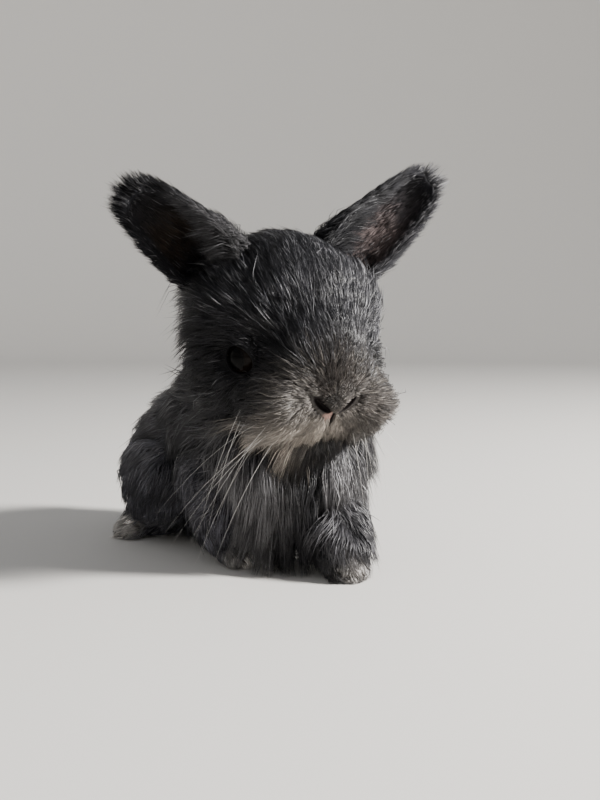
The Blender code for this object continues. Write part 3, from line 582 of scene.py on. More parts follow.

# Tones of the head: black, sooty on the cheeks, mocha on the muzzle with a darker bridge and beige
# lips, a painted shadow under the mouth, and a share of pale hairs for each place, fewer as painted
# shade on the head's right side
tone = mixed(tone, CHARCOAL, on_head)
tone = mixed(tone, SOOT, on_head * cheek * fade(head_y, 0.01, 0.03))
bridge = ramp(rise, 0.1, 0.5) * fade(np.abs(head_x), 0.003, 0.01)
between = ramp(head_z, -0.0095, -0.006) * fade(np.abs(head_x), 0.0012, 0.0042)
bridge = np.maximum(bridge, between)
leftward = ramp(head_x, -0.002, 0.01)
muzzle_tone = mixed(mixed(MOCHA, DARK_BRIDGE, 0.78 * leftward), DARK_BRIDGE, bridge)
muzzle_mask = on_muzzle * on_head
tone = mixed(tone, muzzle_tone, muzzle_mask * 0.92)
lips = ramp(-head_z, 0.007, 0.015) * (1 - 0.88 * leftward) * ramp(-head_y, 0.012, 0.026)
tone = mixed(tone, BEIGE, muzzle_mask * 0.5 * lips)
# Painted shadow under the mouth, between the lower lip and the chest: near-black hair
tone = mixed(tone, SOOT, mouth_shade * 0.95)
ticks = 1 - np.maximum(0.8 * bridge * muzzle_mask, 0.9 * mouth_shade)
ticks = ticks * (1 - 0.3 * muzzle_mask * leftward)
# Fewer pale hairs on the right side of the head behind the muzzle, which lies in shade: painted
# shade
ticks = ticks * (1 - 0.6 * on_head * (1 - on_muzzle) * ramp(-head_x, 0.002, 0.014))

# No hair in the nostrils, the cleft and the mouth, and hardly any on the pink skin between
lining = np.zeros(count)
for cut_centre, cut_sizes, tilt in ((*NOSTRIL, NOSTRIL_TILT), (*CLEFT, 0.0), (*MOUTH, 0.0)):
    for side in (1, -1):
        from_cut = local - np.array(mirrored(cut_centre, side))
        untilt = np.array(Matrix.Rotation(-tilt * side, 3, "Y").transposed())
        reach = np.array(cut_sizes) * LINING_REACH
        inside = np.linalg.norm((from_cut @ untilt.T) / reach, axis=1) < 1
        lining = np.maximum(lining, inside)
bare = fade(gaps(local, BARE_LIP), 0.0016, 0.0034)
density = density * (1 - lining) * (1 - 0.9 * bare)

# The chest's hair ends above the right forepaw, which shows under it
ahead = way_of(FORELEG_RIGHT)
from_paw = body - FORELEG_RIGHT[-1][0] - ahead * PAW_AHEAD
over_paw = (np.linalg.norm(from_paw[:, :2], axis=1) < PAW_RADIUS) & (body_z < PAW_HEIGHT)
short = np.maximum(body_z - PAW_CLEAR, 0.0035)
length = np.where(over_paw, np.minimum(length, short), length)

way = unit(evened(unit(way), skin_edges, LIE_SMOOTHING))
length = evened(length, skin_edges, LIE_SMOOTHING)
lift = evened(lift, skin_edges, LIE_SMOOTHING)

# Hair that runs towards an eye stays short and flat, so that it never hangs over the ball
for side in (1, -1):
    to_eye = np.array(head_place @ mirrored(EYE_PLACE, side)) - skin_points
    eye_gap = np.linalg.norm(to_eye, axis=1)
    facing = np.sum(unit(to_eye) * way, axis=1)
    before_eye = (facing > 0.4) & (eye_gap < EYE_REACH)
    short = np.maximum(eye_gap - EYE_CLEAR, 0.001)
    length = np.where(before_eye, np.minimum(length, short), length)
    flat = np.maximum(0.16 * (eye_gap - EYE_CLEAR), 0.0002)
    lift = np.where(before_eye, np.minimum(lift, flat), lift)
loose = evened(loose, skin_edges, TONE_SMOOTHING)
tone = evened(tone, skin_edges, TONE_SMOOTHING)
skin_tone = mixed(tone * (0.6 - 0.3 * on_head)[:, None], BARE_SKIN, bare)
skin_tone = mixed(skin_tone, LINING, lining)
skin_normals = unit(evened(skin_normals, skin_edges, NORMAL_SMOOTHING))


def set_tone(piece, values):
    """Gives a piece its colour at each point."""
    stored = piece.data.color_attributes.new("tone", "FLOAT_COLOR", "POINT")
    stored.data.foreach_set("color", np.hstack((values, np.ones((len(values), 1)))).ravel())


set_tone(skin, skin_tone)
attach(skin, "root")
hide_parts("head", "neck", "torso", "tail", "foreleg_left", "foreleg_right",
            "hind_leg_left", "hind_leg_right")

# Unwrap
# The hide laid flat, as a furrier would, on a map of its own shape. Each tuft of the coat takes its
# place on this map from its root.
UNWRAP_ANGLE = radians(70)
ISLAND_GAP = 0.002


def unwrapped(piece):
    """Unwraps a piece and returns the map's place of each corner of its triangles."""
    piece.data.uv_layers.new(name="hide")
    bpy.context.view_layer.objects.active = piece
    for other in bpy.context.selected_objects:
        other.select_set(False)
    piece.select_set(True)
    bpy.ops.object.mode_set(mode="EDIT")
    bpy.ops.mesh.select_all(action="SELECT")
    bpy.ops.uv.smart_project(angle_limit=UNWRAP_ANGLE, island_margin=ISLAND_GAP)
    bpy.ops.object.mode_set(mode="OBJECT")
    return listed(piece.data.uv_layers["hide"].data, "uv", 2).reshape(-1, 3, 2)


skin_map = unwrapped(skin)

# Coat
# Soft wool and longer guard hairs, each a thin tapered tuft rooted in the skin. Neighbours lean
# together into wisps, and a few pale hairs tick the black. Every piece is one patch of the coat.
ROOT_DEPTH = 0.0004
SAG = 0.1
FLOOR_CLEAR = 0.0004
CURL = 0.028
HAIR_SHARES = (0.0, 0.5, 1.0)
HAIR_HEIGHTS = (0.0, 0.7, 1.0)
HAIR_TAPER = (0.8, 1.0)
BREADTHS = (0.75, 1.3)
# How much length, lift, turn and tone vary from one wisp to the next, and from hair to hair in it
WISP_SPREAD = (0.14, 0.16, radians(11), 0.26)
HAIR_SPREAD = (0.14, 0.22, radians(8), 0.32)
LENGTH_LIMITS = (-0.4, 0.3)
LIFT_LIMITS = (-0.6, 0.45)
# A few strays are longer, stand higher, turn away and keep out of their wisp
STRAYS = 0.025
STRAY_LENGTH = 1.15
STRAY_LIFT = 1.4
STRAY_TURN = radians(16)
STRAY_CLUMPING = 0.1
WISP_BEND = 1.2
WISP_TONE_SHARE = 0.65
PALE_TIPS = (0.5, 1.3)
MAP_PATCH = 0.003
CORNER_ANGLES = np.radians((90.0, 210.0, 330.0))
COAT_SEED = 40
SILVER = (0.4, 0.4, 0.42)
FAWN = (0.36, 0.33, 0.29)
ASH = (0.22, 0.22, 0.23)


class Hide:
    """A surface that hair grows on, with the coat's values at each of its points."""

    def __init__(self, points, normals, corners, places, values):
        self.corners, self.places = corners, places
        self.values = {"point": points, "normal": normals, **values}
        first, second, third = (points[corners[:, number]] for number in range(3))
        self.areas = np.linalg.norm(np.cross(second - first, third - first), axis=1) / 2
        self.face_normals = unit(normals[corners].mean(axis=1))
        self.face_ways = unit(values["way"][corners].mean(axis=1))
        self.tree = BVHTree.FromPolygons(points.tolist(), corners.tolist())

    def nearest(self, places):
        """Returns the nearest points of the surface, and the triangles that they lie on."""
        found = [self.tree.find_nearest(place) for place in places.tolist()]
        return (np.array([tuple(place) for place, normal, index, gap in found]),
                np.array([index for place, normal, index, gap in found]))


def turned(vectors, axes, angles):
    """Returns vectors turned about axes at right angles to them."""
    angles = angles[:, None]
    return vectors * np.cos(angles) + np.cross(axes, vectors) * np.sin(angles)


def tangent(vectors, normals):
    """Returns vectors laid into the surface."""
    return unit(vectors - normals * np.sum(vectors * normals, axis=1, keepdims=True))


def grow(hide, patch, seed, number, wisp, ticking, tick_tone, sway):
    """Returns the paths of the hairs of a patch of the hide, and what else makes them."""
    draw = np.random.default_rng(seed)
    density = hide.values["density"][hide.corners]
    cover = patch[hide.corners].mean(axis=1)
    weights = hide.areas * np.where(density.min(axis=1) > 0, density.mean(axis=1), 0) * cover
    faces = draw.choice(len(hide.corners), number, p=weights / weights.sum())
    first, second = np.sort(draw.random((2, number)), axis=0)
    parts = np.stack((first, second - first, 1 - second), axis=1)

    def here(key):
        return np.einsum("nk,nk...->n...", parts, hide.values[key][hide.corners[faces]])

    # Every wisp has one hair as its leader, the nearest one to each of its roots
    roots = here("point")
    normals = unit(here("normal"))
    area = (hide.areas * cover).sum()
    wisps = max(4, int(area / wisp ** 2))
    leaders = draw.choice(number, wisps, replace=False)
    tree = KDTree(wisps)
    for index, leader in enumerate(leaders):
        tree.insert(roots[leader], index)
    tree.balance()
    own = np.array([tree.find(root)[1] for root in roots.tolist()])
    spread = draw.normal(0, 1, (4, wisps))[:, own]
    stray = draw.random(number) < STRAYS
    longer = WISP_SPREAD[0] * spread[0] + draw.normal(0, HAIR_SPREAD[0], number)
    lengths = here("length") * np.exp(np.clip(longer, *LENGTH_LIMITS))
    lengths = lengths * np.where(stray, STRAY_LENGTH, 1.0)
    higher = WISP_SPREAD[1] * spread[1] + draw.normal(0, HAIR_SPREAD[1], number)
    lifts = here("lift") * np.exp(np.clip(higher, *LIFT_LIMITS))
    lifts = lifts * np.where(stray, STRAY_LIFT, 1.0)
    turns = sway * (WISP_SPREAD[2] * spread[2] + draw.normal(0, HAIR_SPREAD[2], number))
    turns = turns + np.where(stray, draw.normal(0, STRAY_TURN, number), 0.0)

    # A path keeps close to the hide where the hair lies, and runs freely and sags where it is loose
    free = here("loose")
    ways = unit(here("way"))
    place, up = roots, normals
    heading = turned(tangent(ways, up), up, turns)
    ahead = heading
    freely = np.clip(2 * free - 1, 0, 1)[:, None]
    freely = unit(heading * (1 - freely) + ways * freely)
    path = [roots - normals * ROOT_DEPTH]
    for below, share, height in zip(HAIR_SHARES, HAIR_SHARES[1:], HAIR_HEIGHTS[1:]):
        place, index = hide.nearest(place + ahead * (lengths * (share - below))[:, None])
        up = hide.face_normals[index]
        ahead = turned(tangent(hide.face_ways[index], up), up, turns)
        close = place + up * (lifts * height)[:, None]
        far = roots + freely * (lengths * share)[:, None] + normals * (lifts * height)[:, None]
        far[:, 2] -= SAG * lengths * share ** 2
        path.append(close + (far - close) * (free * share)[:, None])
    path = np.stack(path, axis=1)
    shares = np.array(HAIR_SHARES)
    together = here("clumping") * np.where(stray, STRAY_CLUMPING, 1.0)
    pull = together[:, None, None] * (shares ** WISP_BEND)[None, :, None]
    path = path + (path[leaders][own] - path) * pull
    curl = draw.normal(0, 1, path.shape) * (shares * CURL)[None, :, None]
    path = path + curl * lengths[:, None, None]
    path[:, :, 2] = np.maximum(path[:, :, 2], FLOOR_CLEAR)

    breadths = here("width") * draw.uniform(*BREADTHS, number)
    colours = here("tone")
    as_leader = draw.random((number, 1)) < WISP_TONE_SHARE
    colours = np.where(as_leader, colours[leaders][own], colours)
    darker = WISP_SPREAD[3] * spread[3] + draw.normal(0, HAIR_SPREAD[3], number)
    colours = colours * np.exp(darker)[:, None]
    ticked = draw.random(number) < ticking * here("ticks")
    pale = draw.uniform(*PALE_TIPS, (number, 1)) * tick_tone
    tips = np.where(ticked[:, None], pale, colours)
    map_places = np.einsum("nk,nkc->nc", parts, hide.places[faces])
    return path, normals, breadths, colours, tips, map_places


def tufts(name, material, taper, path, normals, breadths, colours, tips, map_places):
    """Joins tapered tufts of three sides along their paths into one piece of the coat."""
    number, rings = path.shape[0], path.shape[1] - 1
    corners = 3 * rings + 1
    points = np.empty((number, corners, 3))
    shades = np.empty((number, corners, 3))
    for ring in range(rings):
        ahead = unit(path[:, ring + 1] - path[:, max(0, ring - 1)])
        across = unit(np.cross(normals, ahead))
        up = np.cross(ahead, across)
        radius = (breadths * taper[ring] / 2)[:, None]
        shade = blended(colours, tips, ring / rings)
        for corner, angle in enumerate(CORNER_ANGLES):
            offset = across * cos(angle) + up * sin(angle)
            points[:, 3 * ring + corner] = path[:, ring] + offset * radius
            shades[:, 3 * ring + corner] = shade
    points[:, -1] = path[:, -1]
    shades[:, -1] = tips
    points[:, :, 2] = np.maximum(points[:, :, 2], FLOOR_CLEAR / 2)

    # The faces of one tuft: its root, four-sided faces from ring to ring, and its point
    loops, sizes, columns = [2, 1, 0], [3], [(2, 0), (1, 0), (0, 0)]
    for ring in range(rings):
        low, high = 3 * ring, 3 * ring + 3
        for corner in range(3):
            after = (corner + 1) % 3
            loops += [low + corner, low + after]
            columns += [(corner, ring), (corner + 1, ring)]
            if ring < rings - 1:
                loops += [high + after, high + corner]
                columns += [(corner + 1, ring + 1), (corner, ring + 1)]
            else:
                loops.append(high)
                columns.append((corner + 0.5, rings))
            sizes.append(4 if ring < rings - 1 else 3)
    starts = np.concatenate(((0,), np.cumsum(sizes)[:-1]))

    mesh = bpy.data.meshes.new(name)
    mesh.vertices.add(number * corners)
    mesh.vertices.foreach_set("co", points.ravel())
    mesh.loops.add(number * len(loops))
    mesh.polygons.add(number * len(sizes))
    base = np.arange(number)[:, None]
    mesh.loops.foreach_set("vertex_index", (base * corners + np.array(loops)).ravel())
    mesh.polygons.foreach_set("loop_start", (base * len(loops) + starts).ravel())
    mesh.update(calc_edges=True)
    layer = mesh.uv_layers.new(name="OFBake")
    offsets = (np.array(columns, dtype=float) / (3, rings) - 0.5) * MAP_PATCH
    layer.data.foreach_set("uv", (map_places[:, None, :] + offsets).ravel())
    mesh.shade_smooth()
    piece = placed(name, mesh)
    set_tone(piece, shades.reshape(-1, 3))
    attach(piece, "root")
    piece.data.materials.append(material)


def named(nodes, name, kind, place, **values):
    """Adds a node of a material at a place, with its input values."""
    node = nodes.new(kind)
    node.name = name
    node.location = place
    for key, value in values.items():
        node.inputs[key].default_value = value
    return node


def principled(name, roughness, shine=0.5):
    """Returns a new material and its nodes, links and shader."""
    made = bpy.data.materials.new(name)
    made.use_nodes = True
    shader = made.node_tree.nodes["Principled BSDF"]
    shader.inputs["Roughness"].default_value = roughness
    shader.inputs["Specular IOR Level"].default_value = shine
    return made, made.node_tree.nodes, made.node_tree.links, shader


# Hair grain makes a tone uneven in fine streaks and soft patches. Sockets 6 and 7 and output 2 are
# the mix node's colours
grain = bpy.data.node_groups.new("hair grain", "ShaderNodeTree")
for name, way_through, kind in (("Tone", "INPUT", "Color"), ("Scale", "INPUT", "Float"),
                                ("Tone", "OUTPUT", "Color"), ("Height", "OUTPUT", "Float")):
    grain.interface.new_socket(name, in_out=way_through, socket_type="NodeSocket" + kind)
nodes, links = grain.nodes, grain.links
given = named(nodes, "given", "NodeGroupInput", (-400, 0))
where = named(nodes, "where", "ShaderNodeTexCoord", (-400, -200))
noise = named(nodes, "noise", "ShaderNodeTexNoise", (-200, -200), Detail=3.0, Roughness=0.6)
spread = named(nodes, "spread", "ShaderNodeMapRange", (0, -200), **{"To Min": 0.7, "To Max": 1.35})
mix = named(nodes, "mix", "ShaderNodeMix", (200, 0), Factor=1.0)
mix.data_type = "RGBA"
mix.blend_type = "MULTIPLY"
out = named(nodes, "out", "NodeGroupOutput", (400, 0))
links.new(where.outputs["Object"], noise.inputs["Vector"])
links.new(given.outputs["Scale"], noise.inputs["Scale"])
links.new(noise.outputs["Fac"], spread.inputs["Value"])
links.new(given.outputs["Tone"], mix.inputs[6])
links.new(spread.outputs["Result"], mix.inputs[7])
links.new(mix.outputs[2], out.inputs["Tone"])
links.new(noise.outputs["Fac"], out.inputs["Height"])


def toned(name, roughness, shine, scale, bump=0.0):
    """Returns a material that takes its colour from the piece's tone, with hair grain."""
    made, nodes, links, shader = principled(name, roughness, shine)
    tone_node = named(nodes, "tone", "ShaderNodeAttribute", (-500, 0))
    tone_node.attribute_name = "tone"
    grained = nodes.new("ShaderNodeGroup")
    grained.node_tree = grain
    grained.location = (-250, 0)
    grained.inputs["Scale"].default_value = scale
    links.new(tone_node.outputs["Color"], grained.inputs["Tone"])
    links.new(grained.outputs["Tone"], shader.inputs["Base Color"])
    if bump:
        raised = named(nodes, "raised", "ShaderNodeBump", (-50, -250), Strength=0.6, Distance=bump)
        links.new(grained.outputs["Height"], raised.inputs["Height"])
        links.new(raised.outputs["Normal"], shader.inputs["Normal"])
    return made


hair = toned("hair", 0.42, 0.5, 160.0)
fine_hair = toned("fine hair", 0.6, 0.15, 160.0)
hide_material = toned("hide", 0.62, 0.15, 2400.0, 0.0003)
skin.data.materials.clear()
skin.data.materials.append(hide_material)

values = {"way": way, "length": length, "lift": lift, "width": width, "loose": loose,
          "clumping": clumping, "density": density, "tone": tone, "ticks": ticks}
hide = Hide(skin_points, skin_normals, skin_corners, skin_map, values)
low_legs = fade(body_z, 0.018, 0.024) * (1 - on_head) * (1 - belly * (body_z > 0.01))
fore = ramp(-body_y, -0.004, 0.004)
left = (body_x > 0).astype(float)
left_of_face = (head_x > 0).astype(float)
face = on_head * (1 - behind)
skull = face * (1 - on_muzzle)
trunk = (1 - on_head) * (1 - low_legs)
front = ramp(-body_y, 0.004, 0.012)
rear = fade(-body_y, -0.022, -0.014)
back = trunk * (1 - front)
# Each patch: where it is, and its makeup: number of hairs, breadth of a wisp, share and colour of
# the pale hairs, and sway
PATCHES = (
    ("coat_muzzle", face * on_muzzle, 18800, 0.0026, 0.22, FAWN, 0.8),
    ("coat_brow_left", skull * brow * left_of_face, 14500, 0.0034, 0.24, SILVER, 0.6),
    ("coat_brow_right", skull * brow * (1 - left_of_face), 14500, 0.0034, 0.24, SILVER, 0.6),
    ("coat_cheeks", skull * (1 - brow), 12800, 0.004, 0.05, SILVER, 0.9),
    ("coat_nape", on_head * behind, 8900, 0.0045, 0.1, ASH, 0.8),
    ("coat_chest", trunk * front, 12000, 0.0046, 0.1, ASH, 1.6),
    ("coat_back_left", back * left * (1 - rear), 6500, 0.0052, 0.1, ASH, 1.3),
    ("coat_back_right", back * (1 - left) * (1 - rear), 8000, 0.0052, 0.1, ASH, 1.3),
    ("coat_rump_left", trunk * left * rear, 6500, 0.0052, 0.1, ASH, 1.0),
    ("coat_rump_right", trunk * (1 - left) * rear, 8000, 0.0052, 0.1, ASH, 1.0),
    ("coat_forefeet", low_legs * fore, 6500, 0.0032, 0.08, ASH, 0.9),
    ("coat_hind_feet", low_legs * (1 - fore), 7000, 0.0032, 0.1, SILVER, 0.9),
)
for order, (name, patch, *makeup) in enumerate(PATCHES):
    tufts(name, hair, HAIR_TAPER, *grow(hide, np.clip(patch, 0, 1), COAT_SEED + order, *makeup))

# Ear coat
# Short dense hair lies along the back of each ear. The hair of its upper rim leans over the opening
# and on the right ear is grey, a painted sheen of light. A dark fringe stands off its tip, and
# finer hair covers the inside, over skin that is pinkish in the left ear and dark brown in the
# right, its darkness partly painted shade.
EAR_LENGTH = 0.007
EAR_LIFT = 0.0009
EAR_WIDTH = 0.00019
EAR_MAKEUP = (13000, 0.0024, 0.04, ASH, 0.6)
EAR_SEED = 53
EAR_SMOOTHING = 2
EAR_PINK = (0.095, 0.074, 0.072)
# Inside of the right ear: dark brown skin, its darkness partly painted shade
EAR_BROWN_AND_SHADE = (0.03, 0.022, 0.017)
EAR_BLACK = (0.007, 0.007, 0.0085)
# Upper rim of the right ear: grey, a painted sheen of light on its hair
EAR_RIM_SHEEN = (0.056, 0.055, 0.058)
EAR_LOOKS = (("ear_coat_left", EAR_LEFT, EAR_PINK, EAR_BLACK),
             ("ear_coat_right", EAR_RIGHT, EAR_BROWN_AND_SHADE, EAR_RIM_SHEEN))
stations = np.array(EAR_STATIONS)
for order, (ear_skin, (name, places, inner_skin, rim_tone)) in enumerate(zip(ears, EAR_LOOKS)):
    points, normals, corners, edges = arrays_of(ear_skin)
    root, tip, opening = (np.array(place) for place in places)
    root, tip = root + np.array(SHIFT), tip + np.array(SHIFT)
    along = unit(tip - root)
    opening = unit(opening - along * (opening @ along))
    upward = (0.0, 0.0, 1.0) - along * along[2]
    upward = unit(upward - opening * (upward @ opening))
    share = (points - root) @ along / np.linalg.norm(tip - root)
    outward = unit(points - (root + share[:, None] * (tip - root)))

    # Where the inside, the rim, the tip and the upper rim of the ear are
    inner = ramp(-np.sum(outward * normals, axis=1), -0.1, 0.5)
    to_opening = np.sum(outward * opening, axis=1)
    at_rim = -np.cos(np.interp(share, stations[:, 0], np.radians(stations[:, 2])))
    rimward = ramp(to_opening - at_rim, -0.55, -0.1)
    high = ramp(share, 0.78, 0.96)
    rim = np.clip(rimward + high, 0, 1)
    upper = ramp(np.sum(outward * upward, axis=1), 0.2, 0.7) * (1 - 0.5 * high)
    low = fade(share, 0.05, 0.4)
    over = upper * ramp(to_opening, -0.45, 0.1)

    way = along + outward * (0.02 * (1 - inner) * (1 - over))[:, None]
    way = way + (opening * 0.25 - upward * 0.3) * over[:, None]
    bare_inside = inner * (1 - high) * (1 - 0.9 * upper) * (1 - 0.95 * rimward)
    bare_inside = bare_inside * ramp(share, 0.08, 0.3) * (1 - 0.85 * ramp(share, 0.46, 0.74))
    tone = mixed(mixed(np.array(CHARCOAL) * 0.7, rim_tone, over), SOOT, high * 0.6)
    values = {"way": unit(evened(unit(way), edges, EAR_SMOOTHING)),
              "length": EAR_LENGTH - 0.001 * high + 0.0022 * over - 0.0012 * inner * (1 - over),
              "lift": EAR_LIFT + 0.0002 * rim + 0.0006 * over + 0.0022 * low * upper,
              "width": EAR_WIDTH - 0.00004 * inner,
              "loose": np.ones(len(points)),
              "clumping": 0.22 + 0.1 * high,
              "density": 1.0 + 1.6 * rim + 1.2 * over - 0.3 * inner * (1 - rim) * (1 - over),
              # More pale hairs at the tip, lighter hair that also stands for its glints: partly
              # painted highlights
              "ticks": 1 + 5 * high,
              "tone": mixed(tone, np.array(inner_skin) * 0.9, 0.8 * bare_inside)}
    set_tone(ear_skin, mixed(SOOT, inner_skin, bare_inside))
    ear_skin.data.materials.clear()
    ear_skin.data.materials.append(hide_material)
    ear_hide = Hide(points, normals, corners, unwrapped(ear_skin), values)
    whole = np.ones(len(points))
    tufts(name, fine_hair, HAIR_TAPER, *grow(ear_hide, whole, EAR_SEED + order, *EAR_MAKEUP))

# Whiskers
# Long springy hairs in rows on the pads of the upper lip, pale and tapered to a point. Each is
# rooted in the skin, sweeps out and back, and sinks under its own weight.
WHISKERS = 12
WHISKER_ROWS = 3
WHISKER_STEPS = 8
WHISKER_PLACE = (0.0095, -0.036, -0.0115)
WHISKER_APART = (0.0022, 0.003, 0.0034)
WHISKER_SCATTER = 0.001
WHISKER_SLOPE = 0.35
WHISKER_FAN = 1.2
WHISKER_REACH = (0.032, 0.054)
WHISKER_SAG = 0.5
WHISKER_DEPTH = 0.0006
WHISKER_WIDTH = 0.00015
WHISKER_TONE = (0.75, 0.73, 0.7)
draw = random.Random(7)
shares = [step / WHISKER_STEPS for step in range(WHISKER_STEPS + 1)]
paths, ups, map_places = [], [], []
for side in (1, -1):
    for number in range(WHISKERS):
        column, row = divmod(number, WHISKER_ROWS)
        x = WHISKER_PLACE[0] + WHISKER_APART[0] * column + draw.uniform(-1, 1) * WHISKER_SCATTER
        y = WHISKER_PLACE[1] + WHISKER_APART[1] * column
        z = WHISKER_PLACE[2] - WHISKER_APART[2] * (row - 1) + draw.uniform(-1, 1) * WHISKER_SCATTER
        start = head_place @ mirrored((x, y, z), side)
        near, normal, index, gap = hide.tree.find_nearest(start)
        slope = WHISKER_SLOPE + WHISKER_FAN * number / (WHISKERS - 1) + draw.uniform(-0.2, 0.2)
        ahead = Vector((0.85 * cos(slope), 0.25 + draw.uniform(-0.2, 0.2), -sin(slope)))
        ahead = (head_turn.to_3x3() @ mirrored(ahead, side)).normalized()
        reach = draw.uniform(*WHISKER_REACH)
        drop = Vector((0.0, 0.0, -WHISKER_SAG * reach))
        steps = [near + ahead * (reach * share) + drop * share ** 2 for share in shares]
        steps[0] = near - normal * WHISKER_DEPTH
        paths.append([tuple(point) for point in steps])
        ups.append(tuple(normal))
        map_places.append(skin_map[index].mean(axis=0))
paths = np.array(paths)
paths[:, :, 2] = np.maximum(paths[:, :, 2], 0.0006)
tones = np.full((len(paths), 3), WHISKER_TONE)
taper = 1 - np.arange(WHISKER_STEPS) / WHISKER_STEPS
tufts("whiskers", hair, taper, paths, np.array(ups), np.full(len(paths), WHISKER_WIDTH), tones,
      tones, np.array(map_places))

# Claws
# Small claws of dark horn, one at the end of each toe and half hidden in the hair of the paw. They
# point down and forward, and stop just above the floor.
CLAW_LENGTH = 0.0034
CLAW_RADIUS = 0.0006
CLAW_POINT = 0.15
CLAW_SEAT = 0.92
CLAW_DROP = radians(24)
CLAW_CLEAR = 0.0002
bm = bmesh.new()
for joints in LIMBS:
    for centre, turn in toes(joints):
        seat = Matrix.Translation((0.0, TOE_SIZE[1] * CLAW_SEAT, 0.0))
        tip_place = body_place @ Matrix.Translation(centre) @ turn @ seat
        tip_place = tip_place @ Matrix.Rotation(radians(-90) - CLAW_DROP, 4, "X")
        bmesh.ops.create_cone(bm, cap_ends=True, segments=10, radius1=CLAW_RADIUS,
                              radius2=CLAW_RADIUS * CLAW_POINT, depth=CLAW_LENGTH,
                              matrix=tip_place)
for point in bm.verts:
    point.co.z = max(point.co.z, CLAW_CLEAR)
claws = new_object("claws", bm)
horn, nodes, links, shader = principled("horn", 0.35)
shader.inputs["Base Color"].default_value = (0.03, 0.024, 0.02, 1.0)
claws.data.materials.append(horn)
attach(claws, "root")

# Eyes
# Moist dark balls with a brown iris, almost black, under a clear cornea that bulges a little. Each
# sits in its socket under the lids and looks out to its side and forward.
EYE_LOOK = (1.0, -0.45, 0.05)
CORNEA_START = 0.72
CORNEA_SPAN = 0.28
CORNEA_BULGE = 0.05
CORNEA_IOR = 1.376
IRIS_EDGE = (0.3, 0.45)
PUPIL_EDGE = (0.8, 0.86)
WHITE_TONE = (0.01, 0.007, 0.006)
IRIS_TONE = (0.006, 0.004, 0.003)
PUPIL_TONE = (0.001, 0.001, 0.001)
cornea, nodes, links, shader = principled("cornea", 0.08, 0.1)
shader.inputs["IOR"].default_value = CORNEA_IOR
eye_tone = named(nodes, "tone", "ShaderNodeAttribute", (-300, 0))
eye_tone.attribute_name = "tone"
links.new(eye_tone.outputs["Color"], shader.inputs["Base Color"])
for side, node in ((1, "eye_left"), (-1, "eye_right")):
    bm = bmesh.new()
    look = mirrored(EYE_LOOK, side).normalized()
    turn = Vector((0.0, 0.0, 1.0)).rotation_difference(look).to_matrix().to_4x4()
    matrix = head_place @ Matrix.Translation(mirrored(EYE_PLACE, side)) @ turn
    bmesh.ops.create_uvsphere(bm, u_segments=48, v_segments=32, radius=EYEBALL[0])
    for point in bm.verts:
        front = point.co.z / EYEBALL[0]
        if front > CORNEA_START:
            point.co *= 1 + CORNEA_BULGE * ((front - CORNEA_START) / CORNEA_SPAN) ** 1.5
    fronts = np.array([point.co.z / EYEBALL[0] for point in bm.verts])
    bmesh.ops.transform(bm, matrix=matrix, verts=bm.verts)
    ball = new_object(node + "_ball", bm)
    ball.data.shade_smooth()
    iris = mixed(WHITE_TONE, IRIS_TONE, ramp(fronts, *IRIS_EDGE))
    set_tone(ball, mixed(iris, PUPIL_TONE, ramp(fronts, *PUPIL_EDGE)))
    ball.data.materials.append(cornea)
    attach(ball, "root")
    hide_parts(node)

# Camera
# It stands level with the rabbit's head and looks at it from its front right, tipped down a
# little, with the length of lens that gives the focal length in pixels at this image height.
CAMERA_PLACE = Vector((-0.171, -0.328, 0.082)) + SHIFT
CAMERA_AZIMUTH = radians(-30.0)
CAMERA_TILT = radians(4.35)
FOCAL_PIXELS = 1050.0
IMAGE_HEIGHT = 800
SENSOR_HEIGHT = 36.0
camera_data = bpy.data.cameras.new("camera")
camera_data.sensor_fit = "VERTICAL"
camera_data.sensor_height = SENSOR_HEIGHT
camera_data.lens = FOCAL_PIXELS * SENSOR_HEIGHT / IMAGE_HEIGHT
camera_data.clip_start = 0.01
camera = placed("camera", camera_data)
camera.location = CAMERA_PLACE
camera.rotation_euler = (radians(90.0) - CAMERA_TILT, 0.0, CAMERA_AZIMUTH)
bpy.context.scene.camera = camera

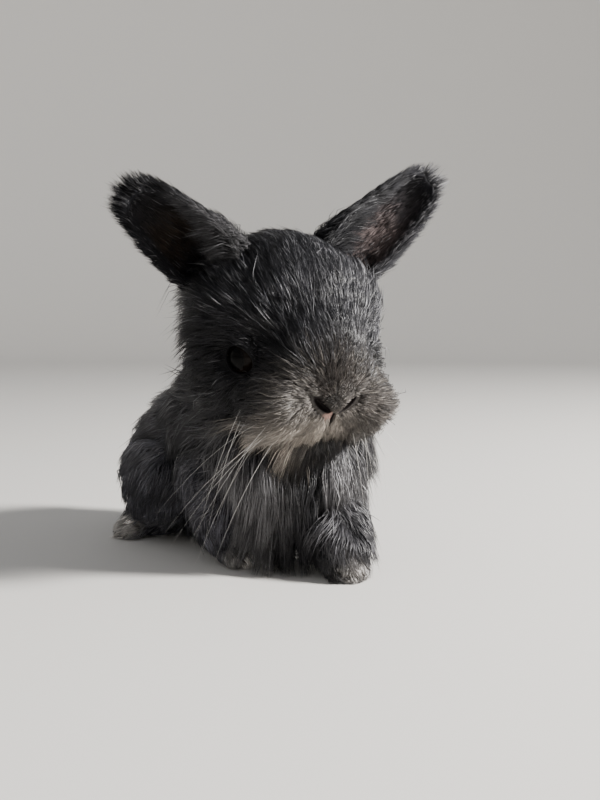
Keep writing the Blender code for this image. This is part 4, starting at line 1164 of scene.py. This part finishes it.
# Floor and light
# A plain pale floor that curves up into a plain pale surround, a soft key from the rabbit's left
# and in front, a weak fill from the camera's side and an even light from above.
FLOOR_HOLE = 0.02
FLOOR_REACH = 2.6
BEND_RADIUS = 0.9
SURROUND_HEIGHT = 1.3
BEND_STEPS = 16
SPIN_STEPS = 96
FLOOR_TONE = (0.7, 0.685, 0.66, 1.0)
LIT_POINT = (0.0, 0.0, 0.06)
bm = bmesh.new()
outline = [bm.verts.new((FLOOR_HOLE, 0.0, 0.0))]
for step in range(BEND_STEPS + 1):
    angle = radians(90) * step / BEND_STEPS
    outline.append(bm.verts.new((FLOOR_REACH - BEND_RADIUS + BEND_RADIUS * sin(angle), 0.0,
                                 BEND_RADIUS * (1 - cos(angle)))))
outline.append(bm.verts.new((FLOOR_REACH, 0.0, SURROUND_HEIGHT)))
edges = [bm.edges.new(pair) for pair in zip(outline, outline[1:])]
bmesh.ops.spin(bm, geom=outline + edges, cent=(0, 0, 0), axis=(0, 0, 1), angle=2 * pi,
               steps=SPIN_STEPS, use_merge=True)
bmesh.ops.holes_fill(bm, edges=[edge for edge in bm.edges if edge.is_boundary
                                and max(point.co.z for point in edge.verts) == 0.0])
bmesh.ops.recalc_face_normals(bm, faces=bm.faces)
floor = new_object("floor", bm)
floor.data.shade_smooth()
floor_material, nodes, links, shader = principled("floor", 0.75)
shader.inputs["Base Color"].default_value = FLOOR_TONE
floor.data.materials.append(floor_material)


def soft_light(name, place, size, power, colour):
    """Adds a square soft light that shines on the rabbit."""
    data = bpy.data.lights.new(name, "AREA")
    data.size = size
    data.energy = power
    data.color = colour
    made = placed(name, data)
    made.location = place
    made.rotation_euler = (Vector(LIT_POINT) - Vector(place)).to_track_quat("-Z", "Y").to_euler()


soft_light("key", (0.84, -0.82, 0.68), 0.26, 66.0, (1.0, 0.97, 0.93))
soft_light("fill", (-0.9, -1.1, 0.7), 1.2, 1.2, (0.92, 0.96, 1.0))
surround = bpy.data.worlds.new("surround")
bpy.context.scene.world = surround
surround.use_nodes = True
background = surround.node_tree.nodes["Background"]
background.inputs["Color"].default_value = (0.8, 0.81, 0.83, 1.0)
background.inputs["Strength"].default_value = 0.48
